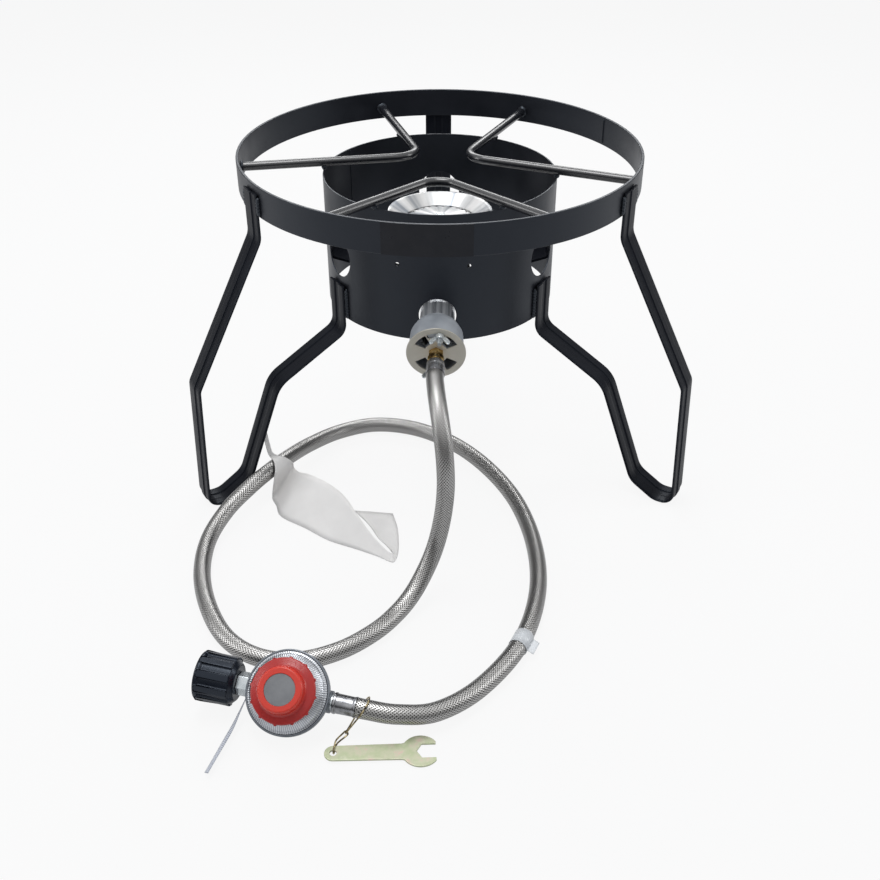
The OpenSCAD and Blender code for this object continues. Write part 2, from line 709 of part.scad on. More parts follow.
module burner_end_ferrule() {
    color([0.6, 0.61, 0.63])
    on_tube(ferrule_s) difference() {
        rotate_extrude($fn = 64) polygon([[2, 0], [burner_ferrule_d / 2 - 1.2, 0],
            [burner_ferrule_d / 2 - 0.4, 1], [burner_ferrule_d / 2, 2.2],
            [burner_ferrule_d / 2, burner_ferrule_len], [2, burner_ferrule_len]]);
        translate([0, 0, 7]) rotate_extrude($fn = 64)
            translate([burner_ferrule_d / 2 - 0.4, 0]) square([1, 2]);
    }
}

// Regulator: its own z runs up through the knob, its x towards the outlet, z = 0 in the rim's plane
body_r = body_d / 2;
body_chamfer = 3;
reg_z = max(body_r * sin(reg_lean) + (body_depth - body_chamfer) * cos(reg_lean),
    (body_r - body_chamfer) * sin(reg_lean) + body_depth * cos(reg_lean));
reg_centre = [-132.2, -475.9, reg_z];
module at_regulator() {
    translate(reg_centre) rotate([0, 0, -reg_yaw]) rotate([reg_lean, 0, 0]) rotate([0, 0, -reg_roll])
        children();
}
function reg_point(p) = reg_centre + rot_z(-reg_yaw, rot_x(reg_lean, rot_z(-reg_roll, p)));
module to_outlet(t) { at_regulator() translate([t, 0, -port_drop]) rotate([0, 90, 0]) children(); }
module to_inlet(t) { at_regulator() translate([-t, 0, -port_drop]) rotate([0, -90, 0]) children(); }
rim_r = rim_d / 2;
port_reach = rim_r + port_out;
wall = 3;
disc_t = 1;
port_bore_d = 11;
module regulator_body() {
    color([0.55, 0.58, 0.62])
    difference() {
        union() {
            at_regulator() rotate_extrude($fn = 96) polygon([[0, -body_depth],
                [body_r - body_chamfer, -body_depth], [body_r, -body_depth + body_chamfer],
                [body_r, -rim_t + 1.5], [rim_r - 1, -rim_t + 1.5], [rim_r, -rim_t + 2.5],
                [rim_r, 1], [rim_r - 0.6, 1.6], [rim_r - 1.8, 1.6], [rim_r - 1.8, -disc_t],
                [body_r - wall, -disc_t], [body_r - wall, -body_depth + wall], [0, -body_depth + wall]]);
            difference() {
                union() {
                    to_outlet(body_r - 6) cylinder(d = port_d, h = port_reach - body_r + 6, $fn = 48);
                    to_inlet(body_r - 6) cylinder(d = port_d, h = port_reach - body_r + 6, $fn = 48);
                }
                at_regulator() translate([0, 0, -body_depth + wall])
                    cylinder(r = body_r - wall, h = body_depth, $fn = 96);
            }
        }
        to_outlet(body_r - 8) cylinder(d = port_bore_d + 2 * run, h = port_reach, $fn = 32);
        to_inlet(body_r - 8) cylinder(d = port_bore_d + 2 * run, h = port_reach, $fn = 32);
    }
}
seat_top = 2;
spring_top = bonnet_h - 5;
module regulator_bonnet() {
    flange_r = rim_r - 1.8 - slide;
    color([0.62, 0.65, 0.69])
    at_regulator() rotate_extrude($fn = 96) polygon([[body_r - wall - 2, 0], [flange_r, 0],
        [flange_r, 2], [flange_r - 2, 3], [flange_r - 2.5, 4.5], [flange_r - 7, 8.5],
        [knob_d / 2 - 7, bonnet_h - 1.5], [screw_d / 2 + 7, bonnet_h], [screw_d / 2 + run, bonnet_h],
        [screw_d / 2 + run, bonnet_h - 2.5], [screw_d / 2 + 8, bonnet_h - 2.5],
        [body_r - wall - 4, 5.5]]);
}
module diaphragm() {
    color([0.1, 0.1, 0.1])
    at_regulator() translate([0, 0, -disc_t])
        cylinder(r = rim_r - 1.8 - slide, h = disc_t, $fn = 96);
}
module spring_seat() {
    color([0.7, 0.7, 0.72])
    at_regulator() rotate_extrude($fn = 48)
        polygon([[0, 0], [13, 0], [13, 1], [7, 1], [7, seat_top], [0, seat_top]]);
}
// The spring sits sealed inside, so it is one plain sleeve of the spring's size
module adjusting_spring() {
    color([0.65, 0.66, 0.68])
    at_regulator() translate([0, 0, 1]) difference() {
        cylinder(r = 9.5, h = spring_top - 1, $fn = 48);
        translate([0, 0, -cut]) cylinder(r = 7.5, h = spring_top + 2 * cut, $fn = 48);
    }
}
module spring_button() {
    color([0.72, 0.72, 0.7])
    at_regulator() translate([0, 0, spring_top])
        rotate_extrude($fn = 48) polygon([[0, 0], [10.5, 0], [10.5, 1.2], [0, 1.2]]);
}
knob_z = bonnet_h + slide + 0.5;
knob_top = knob_z + knob_h;
cap_recess = 2;
module adjusting_screw() {
    color([0.72, 0.72, 0.7])
    at_regulator() translate([0, 0, spring_top + 1.2 + slide])
        cylinder(d = screw_d, h = knob_top - cap_recess - 1.5 - spring_top - 1.2 - slide, $fn = 40);
}
module adjusting_knob() {
    hub_r = knob_hub_d / 2;
    flange_r = knob_d / 2;
    color([0.82, 0.2, 0.16])
    at_regulator() translate([0, 0, knob_z]) difference() {
        union() {
            rotate_extrude($fn = 96) polygon([[screw_d / 2, 0.5], [flange_r - 2, 0.5], [flange_r, 0],
                [flange_r, 2.5], [flange_r - 1.5, 3.6], [hub_r + 3, 4.6], [hub_r + 0.6, 6.5],
                [hub_r, knob_h - 1.5], [hub_r - 1.5, knob_h], [knob_cap_d / 2 + run, knob_h],
                [knob_cap_d / 2 + run, knob_h - cap_recess], [0, knob_h - cap_recess],
                [0, knob_h - cap_recess - 1.5], [screw_d / 2, knob_h - cap_recess - 1.5]]);
            for (i = [0:knob_teeth - 1]) rotate([0, 0, i * 360 / knob_teeth])
                translate([flange_r - 0.3, 0, 0]) cylinder(d = 3, h = 2.5, $fn = 16);
        }
        translate([0, 0, -cut]) rotate_extrude($fn = 64) translate([screw_d / 2 + 3, 0])
            square([hub_r - 5 - screw_d / 2, cut + 4]);
    }
}
module knob_cap() {
    color([0.56, 0.56, 0.58])
    at_regulator() translate([0, 0, knob_top - cap_recess])
        cylinder(d = knob_cap_d, h = 1.4, $fn = 64);
}
// The poppet under the diaphragm, which meters the gas
module valve_pin() {
    color([0.72, 0.56, 0.25])
    at_regulator() translate([0, 0, -body_depth + wall]) {
        cylinder(r = 5, h = 2, $fn = 40);
        translate([0, 0, 2]) cylinder(r = 2, h = body_depth - wall - 2 - disc_t, $fn = 24);
    }
}

// Outlet: a short nipple, then the ferrule that grips the hose
ferrule_t = port_reach + 1.5;
hose_end_t = ferrule_t + regulator_ferrule_len;
module outlet_nipple() {
    color([0.66, 0.68, 0.7])
    to_outlet(0) difference() {
        union() {
            translate([0, 0, port_reach - 10]) cylinder(d = port_bore_d, h = 10.1, $fn = 32);
            translate([0, 0, port_reach]) cylinder(d = port_d - 4, h = ferrule_t - port_reach, $fn = 48);
        }
        cylinder(d = 5, h = ferrule_t + cut, $fn = 24);
    }
}
module regulator_end_ferrule() {
    r = regulator_ferrule_d / 2;
    color([0.62, 0.63, 0.65])
    to_outlet(ferrule_t) rotate_extrude($fn = 64) polygon([[2.5, 0], [r - 0.6, 0], [r, 0.8],
        [r, 2.6], [r - 0.7, 3.2], [r - 0.9, regulator_ferrule_len - 3],
        [r - 0.3, regulator_ferrule_len - 1.2], [r - 0.3, regulator_ferrule_len],
        [2.5, regulator_ferrule_len]]);
}

// Inlet: the stem keeps the coupling nut by a flange, and ends in a soft-nosed nipple
nut_t = port_reach + 10;
nut_wall = 5;
stem_flange_t = nut_t + nut_wall + slide;
// How far the nipple's end sits behind the nut's mouth
nipple_back = 9;
nipple_end_t = nut_t + nut_len - nipple_back;
module inlet_stem() {
    color([0.68, 0.69, 0.71])
    to_inlet(0) difference() {
        union() {
            translate([0, 0, port_reach - 10]) cylinder(d = port_bore_d, h = 10.1, $fn = 32);
            translate([0, 0, port_reach]) rotate([0, 0, 30])
                cylinder(d = (port_d - 1) * hex_across, h = nut_t - port_reach - slide, $fn = 6);
            translate([0, 0, port_reach]) cylinder(d = stem_d, h = stem_flange_t - port_reach, $fn = 48);
            translate([0, 0, stem_flange_t]) cylinder(d = stem_d + 9, h = 3, $fn = 48);
            translate([0, 0, stem_flange_t])
                cylinder(d = stem_d - 3, h = nipple_end_t - stem_flange_t, $fn = 48);
        }
        translate([0, 0, port_reach - 12]) cylinder(d = 5, h = nut_len + 40, $fn = 24);
    }
}
seal_len = 7;
module nipple_seal() {
    color([0.12, 0.12, 0.12])
    to_inlet(nipple_end_t - seal_len - 2) difference() {
        cylinder(d1 = stem_d + 2, d2 = stem_d, h = seal_len, $fn = 48);
        translate([0, 0, -cut]) cylinder(d = stem_d - 3 + 2 * run, h = seal_len + 2 * cut, $fn = 48);
    }
}
nut_rib_w = 6.5;
// The mouth's plain lead-in, and the groove that ends the thread behind it
lead_in = [nut_len - 7.5, nut_len - 2];
relief_w = 2;
relief_r = nut_mouth_d / 2 + 0.8;
module coupling_nut() {
    nut_r = nut_d / 2;
    color([0.12, 0.13, 0.16])
    to_inlet(nut_t) difference() {
        union() {
            rotate_extrude($fn = 96) polygon([[stem_d / 2 + run, 0], [nut_r - 4, 0], [nut_r - 1, 3],
                [nut_r, 5], [nut_r, nut_len - 5], [nut_r + nut_rib_h, nut_len - 4],
                [nut_r + nut_rib_h, nut_len - 1], [nut_r + nut_rib_h - 1, nut_len],
                [nut_mouth_d / 2, nut_len], [nut_mouth_d / 2, lead_in[0]], [relief_r, lead_in[0]],
                [relief_r, lead_in[0] - relief_w], [nut_mouth_d / 2, lead_in[0] - relief_w],
                [nut_mouth_d / 2, nut_wall], [stem_d / 2 + run, nut_wall]]);
            for (i = [0:nut_ribs - 1]) rotate([0, 0, i * 360 / nut_ribs])
                translate([nut_r - 1, -nut_rib_w / 2, 4])
                    cube([nut_rib_h + 1, nut_rib_w, nut_len - 6]);
        }
        translate([0, 0, lead_in[1]])
            cylinder(d1 = nut_mouth_d, d2 = nut_mouth_d + 4.2, h = 2.1, $fn = 64);
    }
}

// Hose: it runs straight out of the ferrule, droops to the floor and goes once round to the regulator.
// These are points on its centre line, and its first and last stretches follow from the fittings.
hose_route = [
    [-3, -253.5, 198.6], [0, -272, 186.4], [3, -286, 169.3], [5, -294.5, 148.5], [5.5, -297.5, 124],
    [3.5, -296, 95], [-1, -296.5, 67], [-7.5, -303, 46], [-17, -314.5, 28.5], [-28, -329.5, 16.2],
    [-42, -348.5, 10], [-62, -373.5, 9.2], [-93, -398.5, 9.2], [-131, -412.5, 9.2], [-169, -408, 9.2],
    [-202, -384, 9.2], [-227, -342, 9.2], [-243.5, -290, 9.2], [-246, -238, 11.5],
    [-232.5, -195.5, 19], [-211.5, -165, 27.5], [-194, -140, 31], [-177, -107, 27], [-155, -64, 17.5],
    [-123, -26, 10.5], [-80, -8, 9.2], [-31, -17, 9.2], [14, -48, 9.2],
    [53, -97, 9.2], [84, -163, 9.2], [99.5, -240, 9.2], [98, -316, 9.4], [77, -388, 9.6],
    [38, -445, 10], [-2, -478.5, 14.3], [-37, -487.5, 20.3]];
lead = 8;
hose_gap = 0.7;
hose_points = concat([tube_point(hose_s + hose_gap), tube_point(hose_s + hose_gap + lead)], hose_route,
    [reg_point([hose_end_t + hose_gap + lead, 0, -port_drop]),
     reg_point([hose_end_t + hose_gap, 0, -port_drop])]);
hose_curve = smooth(hose_points, 2);
hose_facets = 10;
module gas_hose() {
    color([0.62, 0.62, 0.62]) swept_tube(hose_curve, hose_d / 2, hose_facets);
}
// The clear label wrapped round the hose on the loop's right side, bent to the hose's own curve
wrap_i = 2 * 34;
wrap_t = 0.4;
wrap_gap = 0.1;
function flat(p) = [p.x, p.y];
function centre_of(a, b, c) =
    let (
        p = b - a,
        q = c - a,
        d = 2 * (p.x * q.y - p.y * q.x)
    )
    a + [q.y * (p * p) - p.y * (q * q), p.x * (q * q) - q.x * (p * p)] / d;
module hose_wrap() {
    here = flat(hose_curve[wrap_i]);
    hub = centre_of(flat(hose_curve[wrap_i - 1]), here, flat(hose_curve[wrap_i + 1]));
    spoke = here - hub;
    span = wrap_len / norm(spoke) * 180 / PI;
    color([0.85, 0.86, 0.88])
    translate([hub.x, hub.y, hose_curve[wrap_i].z])
    rotate([0, 0, atan2(spoke.y, spoke.x) - span / 2])
    rotate_extrude(angle = span, $fn = 120) translate([norm(spoke), 0]) difference() {
        circle(d = hose_d + 2 * (wrap_t + wrap_gap), $fn = 40);
        circle(d = hose_d + 2 * wrap_gap, $fn = 40);
    }
}

// Tag: a soft strip that hugs the hose, lies down inside the loop and folds back on itself
tag_rows = [
    [[-198, -123, 70], [-194, -121, 71.5]],
    [[-196.5, -124, 56], [-192, -121.5, 57]],
    [[-194, -125.5, 45], [-190, -121, 45]],
    [[-189.5, -130, 41.5], [-184.5, -120.5, 40.5]],
    [[-186, -138, 41], [-177.5, -121, 38.5]],
    [[-184.5, -145, 36.5], [-171.5, -119, 33]],
    [[-185.5, -149, 30], [-168.5, -116, 26]],
    [[-190, -151, 2], [-168, -117, 21]],
    [[-184, -164, 1], [-160, -133, 26]],
    [[-176, -184, 1], [-144.5, -150, 34]],
    [[-146.5, -205, 1], [-121, -171.5, 36.5]],
    [[-121, -225, 1], [-103.5, -190.5, 34]],
    [[-90, -240, 1], [-90, -209.5, 25.5]],
    [[-67.5, -251.5, 1], [-74, -230, 14.5]],
    [[-53.5, -260.5, 1], [-55.5, -250.5, 7]],
    [[-47, -259.5, 1], [-50, -248.5, 6]],
    [[-44, -240, 1], [-65.5, -228, 6]],
    [[-46, -205.5, 1], [-78, -205.5, 8]],
    [[-52.5, -177.5, 1], [-95.5, -177.5, 5]]];
module hose_tag() {
    color([0.85, 0.84, 0.82]) thin_sheet(tag_rows, tag_t);
}

// Strip tag: a thin strap that hangs from the inlet stem and stands on its edge
strip_rows = [
    [[-171.5, -464.5, 17.2], [-170.3, -469.6, 22.2]],
    [[-178.4, -470.8, 5.1], [-175.3, -480, 14]],
    [[-184.5, -487.2, 0.6], [-182, -494, 9.5]],
    [[-192.7, -515.9, 0.6], [-190.2, -520.5, 9.5]],
    [[-197.8, -535.4, 0.6], [-195.4, -539, 8]]];
module strip_tag() {
    color([0.75, 0.77, 0.8]) thin_sheet(strip_rows, tag_t);
}

// Key: a flat open-ended spanner on the floor, its hole end propped on the wire
key_hole = [-91.2, -515.4];
key_angle = 3;
key_tip_r = key_head_d / 2;
key_head_x = key_len - sqrt(pow(key_tip_r, 2) - pow(key_jaw / 2 + 2.6, 2));
key_lift = wire_d + slide;
module key_outline() {
    difference() {
        union() {
            circle(d = key_w, $fn = 48);
            polygon([[0, -key_w / 2],
                [key_head_x - 16, -key_w / 2 - 0.6], [key_head_x - 8, -key_w / 2 - 3.2],
                [key_head_x - 2, -key_tip_r + 0.2], [key_head_x - 2, key_tip_r - 0.2],
                [key_head_x - 8, key_w / 2 + 3.2], [key_head_x - 16, key_w / 2 + 0.6], [0, key_w / 2]]);
            translate([key_head_x, 0]) circle(r = key_tip_r, $fn = 72);
        }
        circle(d = key_hole_d, $fn = 32);
        polygon([[key_head_x - 3.5, 0], [key_head_x + 1, -key_jaw / 2], [key_len + key_tip_r, -key_jaw / 2],
            [key_len + key_tip_r, key_jaw / 2], [key_head_x + 1, key_jaw / 2]]);
        translate([key_len, -key_tip_r]) square([key_tip_r, key_head_d]);
    }
}
module key_wrench() {
    color([0.76, 0.78, 0.63])
    translate([key_hole.x, key_hole.y, key_lift]) rotate([0, 0, key_angle])
    rotate([0, asin(key_lift / key_len), 0])
        linear_extrude(height = key_t) key_outline();
}

// Wires: one loop round the hose, and one long link from it through the key's hole
tie_foot = [-82, -493.3, 3.3];
tie_hose = reg_point([hose_end_t + 5, 0, -port_drop]);
tie_down = unit(tie_foot - tie_hose);
tie_out = unit(cross(tie_down, [1, 0, 0]));
tie_side = cross(tie_down, tie_out);
hose_line = unit(reg_point([1, 0, 0]) - reg_point([0, 0, 0]));
tie_r = hose_d / 2 / abs(tie_side * hose_line) + wire_d / 2 + 0.5;
function tie_loop() =
    let (flank = acos(tie_r / norm(tie_foot - tie_hose)))
    concat([for (i = [0:18]) let (a = flank + (360 - 2 * flank) * i / 18)
        tie_hose + tie_r * (cos(a) * tie_down + sin(a) * tie_out)],
        [for (p = [[-5, -2.8], [-2.4, -2.6], [-0.8, -1.8], [0, 0], [-0.8, 1.8], [-2.4, 2.6], [-5, 2.8]])
            tie_foot + p[0] * tie_down + p[1] * tie_out]);
wire_facets = 6;
module wire_tie() {
    color([0.6, 0.56, 0.45]) swept_tube(tie_loop(), wire_d / 2, wire_facets, true);
}
link_top = tie_foot - (wire_d + 0.35) * tie_down;
link_run = unit([key_hole.x, key_hole.y, key_lift] - link_top);
link_route = [[-91, -514.4, 3.8], [-91, -514.4, 1.9], [-90.6, -512.8, 0.85], [-90, -507.3, 0.85],
    [-88.2, -502.6, 1.6], link_top - 1.9 * tie_side + 3 * link_run, link_top - 1.4 * tie_side + link_run,
    link_top, link_top + 1.4 * tie_side + link_run, link_top + 1.9 * tie_side + 3 * link_run,
    [-89, -503.6, 6.6], [-90.2, -508.7, 6], [-90.8, -512.6, 5.6]];
module wire_link() {
    color([0.6, 0.56, 0.45]) swept_tube(link_route, wire_d / 2, wire_facets, true);
}

top_ring();
support_rod(0);  // rod_front
support_rod(1);  // rod_right
support_rod(2);  // rod_left
leg(leg_angles[0]);  // leg_back
leg(leg_angles[1]);  // leg_left
leg(leg_angles[2]);  // leg_right
burner_drum();
weld_beads();
ring_label();
burner_casting();
burner_cap();
cap_screw();
burner_bracket();
bracket_bolt();
burner_tube();
tube_bell();
air_shutter();
stud(0);  // stud_upper
stud(180);  // stud_lower
wing_nut(0);  // wing_nut_upper
wing_nut(180);  // wing_nut_lower
gas_jet();
hose_nut();
burner_end_ferrule();
gas_hose();
hose_wrap();
regulator_end_ferrule();
outlet_nipple();
regulator_body();
regulator_bonnet();
diaphragm();
spring_seat();
adjusting_spring();
spring_button();
adjusting_screw();
adjusting_knob();
knob_cap();
valve_pin();
inlet_stem();
nipple_seal();
coupling_nut();
strip_tag();
hose_tag();
key_wrench();
wire_tie();
wire_link();
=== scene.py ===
# %% [markdown]
# # An outdoor cooker with one burner
# The object is a camping cooker for gas: a round band carries the pot, three bent bars carry the
# band, and a drum shields one burner from the wind. A braided hose lies in a loop on the ground
# and ends in a regulator with a red knob. The construction comes from CAD and stays as it is.
# This lesson dresses it: a camera and soft light first, then finishes, then the pieces by hand.

# %% Load the frame
import json
import math

import bmesh
import bpy
from mathutils import Matrix, Vector, noise


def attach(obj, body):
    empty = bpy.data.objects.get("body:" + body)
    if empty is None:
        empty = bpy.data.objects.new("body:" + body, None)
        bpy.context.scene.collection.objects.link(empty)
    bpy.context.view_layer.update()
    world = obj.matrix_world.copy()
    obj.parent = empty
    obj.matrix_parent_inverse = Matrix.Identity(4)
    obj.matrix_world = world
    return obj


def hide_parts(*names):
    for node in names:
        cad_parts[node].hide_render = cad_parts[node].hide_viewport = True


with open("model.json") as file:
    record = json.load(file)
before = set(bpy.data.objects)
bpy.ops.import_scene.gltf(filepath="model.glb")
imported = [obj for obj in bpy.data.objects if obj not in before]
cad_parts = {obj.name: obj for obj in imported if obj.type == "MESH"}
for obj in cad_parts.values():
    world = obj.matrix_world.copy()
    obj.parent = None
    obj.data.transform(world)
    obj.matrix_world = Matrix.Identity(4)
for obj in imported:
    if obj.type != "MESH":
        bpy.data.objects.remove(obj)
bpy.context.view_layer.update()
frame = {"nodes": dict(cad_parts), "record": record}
nodes = frame["nodes"]
scene = bpy.context.scene

# %% [markdown]
# ## The camera
# The picture was taken from the front, a little above the ring, with a lens of about 44 mm on a
# 36 mm sensor. The object's own Z axis crosses the picture's middle, so the camera only needs a
# distance, a height and a tilt.

# %% Camera
IMAGE_SIDE = 880
FOCAL_PIXELS = 1079.2
SENSOR = 36.0
CAMERA_DISTANCE = 1.1333
CAMERA_HEIGHT = 0.7354
CAMERA_TILT = math.radians(33.65)

camera_data = bpy.data.cameras.new("camera")
camera_data.sensor_width = SENSOR
camera_data.lens = FOCAL_PIXELS / IMAGE_SIDE * SENSOR
camera = bpy.data.objects.new("camera", camera_data)
camera.location = (0, -CAMERA_DISTANCE, CAMERA_HEIGHT)
camera.rotation_euler = (math.pi / 2 - CAMERA_TILT, 0, 0)
scene.collection.objects.link(camera)
scene.camera = camera
scene.view_settings.view_transform = "Standard"
print("lens:", round(camera_data.lens, 2), "mm")

# %% [markdown]
# ## Tools for node trees
# Room, floor and finishes are all small trees of nodes. These helpers add a sum, a mapped range, a
# mix of two shaders, and a number that tells the rays that are seen from those that only light.


# %% Node helpers
def node_math(tree, operation, a, b):
    """The result of a math node. Each operand is a number or a socket."""
    made = tree.nodes.new("ShaderNodeMath")
    made.operation = operation
    for socket, value in zip(made.inputs, (a, b)):
        if isinstance(value, (int, float)):
            socket.default_value = value
        else:
            tree.links.new(value, socket)
    return made.outputs[0]


def map_range(tree, source, low, high, to_low, to_high, curve="LINEAR"):
    """A number taken from one range to another, and held at the ends."""
    made = tree.nodes.new("ShaderNodeMapRange")
    made.interpolation_type = curve
    limits = {"From Min": low, "From Max": high, "To Min": to_low, "To Max": to_high}
    for key, value in limits.items():
        made.inputs[key].default_value = value
    tree.links.new(source, made.inputs["Value"])
    return made.outputs["Result"]


def seen_rays(tree, glossy=1.0):
    """A number that is 1 where the camera looks, and glossy where a reflection does."""
    rays = tree.nodes.new("ShaderNodeLightPath").outputs
    seen = node_math(tree, "MULTIPLY", rays["Is Glossy Ray"], glossy)
    for ray in ("Is Camera Ray", "Is Transmission Ray"):
        seen = node_math(tree, "MAXIMUM", rays[ray], seen)
    return seen


def mix_shaders(tree, factor, first, second, output):
    """Feeds the output with the first shader at factor 0 and the second at 1."""
    mix = tree.nodes.new("ShaderNodeMixShader")
    tree.links.new(factor, mix.inputs["Fac"])
    tree.links.new(first.outputs[0], mix.inputs[1])
    tree.links.new(second.outputs[0], mix.inputs[2])
    tree.links.new(mix.outputs[0], output.inputs["Surface"])


# %% [markdown]
# ## The room
# Satin black paint shows its form only by what it reflects, so it is lit like a product on a
# table, in a pale room. The room is white wherever it is seen, directly or in metal, and gives
# less light than that to matt surfaces, which keeps the paint black and the metal bright.

# %% World
ROOM_COLOUR = (0.93, 0.96, 1.0, 1)
ROOM_LIGHT = 0.5
world = bpy.data.worlds.new("pale room")
world.use_nodes = True
scene.world = world
room = world.node_tree
room.nodes.clear()
room_light = room.nodes.new("ShaderNodeBackground")
room_light.inputs["Color"].default_value = ROOM_COLOUR
room_light.inputs["Strength"].default_value = ROOM_LIGHT
room_seen = room.nodes.new("ShaderNodeBackground")
room_seen.inputs["Color"].default_value = (1, 1, 1, 1)
room_out = room.nodes.new("ShaderNodeOutputWorld")
mix_shaders(room, seen_rays(room), room_light, room_seen, room_out)

# %% [markdown]
# What metal mirrors grows dim towards the horizon, as in a studio whose walls stand in the dark,
# and that draws the dark band along each rod and along the hose.

# %% Dark walls
WALL_DIMMING = 0.92
WALL_LOW = 0.2
WALL_HIGH = 0.75
upwards = room.nodes.new("ShaderNodeSeparateXYZ")
room.links.new(room.nodes.new("ShaderNodeTexCoord").outputs["Generated"], upwards.inputs[0])
walls = map_range(room, upwards.outputs["Z"], WALL_LOW, WALL_HIGH, WALL_DIMMING, 0.0, "SMOOTHSTEP")
glossy_ray = room.nodes.new("ShaderNodeLightPath").outputs["Is Glossy Ray"]
dimmed = node_math(room, "MULTIPLY", walls, glossy_ray)
room.links.new(node_math(room, "SUBTRACT", 1.0, dimmed), room_seen.inputs["Strength"])

# %% [markdown]
# ## Lamps
# Four soft lamps: one above, one behind that rims the band and the rods with light, and one at
# each side that pales the ends of the curved sheets.


# %% Lamps
def add_lamp(name, where, target, width, height, watts):
    """A flat rectangular lamp at a place, turned to face its target."""
    data = bpy.data.lights.new(name, "AREA")
    data.shape = "RECTANGLE"
    data.size = width
    data.size_y = height
    data.energy = watts
    lamp = bpy.data.objects.new(name, data)
    lamp.location = where
    lamp.rotation_euler = (Vector(target) - Vector(where)).to_track_quat("-Z", "Y").to_euler()
    scene.collection.objects.link(lamp)


MIDDLE = (0, -0.1, 0.2)
add_lamp("top lamp", (-0.25, -0.1, 1.9), MIDDLE, 1.0, 0.7, 15)
add_lamp("back lamp", (0, 1.5, 1.25), MIDDLE, 1.5, 0.5, 13)
add_lamp("left lamp", (-1.7, -0.4, 0.8), MIDDLE, 0.5, 1.2, 7)
add_lamp("right lamp", (1.7, -0.2, 0.8), MIDDLE, 0.5, 1.2, 7)

# %% [markdown]
# ## The floor
# The floor is white wherever it is seen and greyer for the light that it throws back, so the
# undersides stay dark. A part of its look is ordinary matt paint, which keeps the soft shadows.

# %% Floor
FLOOR_SIDE = 14
FLOOR_DROP = 0.0005
FLOOR_GLOSSY = 0.55
FLOOR_SHARE = 0.9
floor_mesh = bpy.data.meshes.new("floor")
bm = bmesh.new()
bmesh.ops.create_grid(bm, x_segments=1, y_segments=1, size=FLOOR_SIDE / 2)
bm.to_mesh(floor_mesh)
bm.free()
floor = bpy.data.objects.new("floor", floor_mesh)
floor.location = (0, 0, -FLOOR_DROP)
scene.collection.objects.link(floor)
floor_mat = bpy.data.materials.new("white floor")
floor_mat.use_nodes = True
floor_tree = floor_mat.node_tree
floor_paint = floor_tree.nodes["Principled BSDF"]
floor_paint.inputs["Base Color"].default_value = (0.55, 0.55, 0.56, 1)
floor_paint.inputs["Roughness"].default_value = 0.9
floor_paint.inputs["Specular IOR Level"].default_value = 0.0
floor_glow = floor_tree.nodes.new("ShaderNodeEmission")
floor_share = node_math(floor_tree, "MULTIPLY", seen_rays(floor_tree, FLOOR_GLOSSY), FLOOR_SHARE)
mix_shaders(floor_tree, floor_share, floor_paint, floor_glow, floor_tree.nodes["Material Output"])
floor_mesh.materials.append(floor_mat)

# %% [markdown]
# ## Tools for finishes
# Every finish is one Principled shader fed by a few procedural textures. The helpers below only
# save typing: they add a texture on object coordinates, which are metres here, so a scale of 1000
# makes features of about a millimetre.


# %% Finish helpers
FINISHES = {}


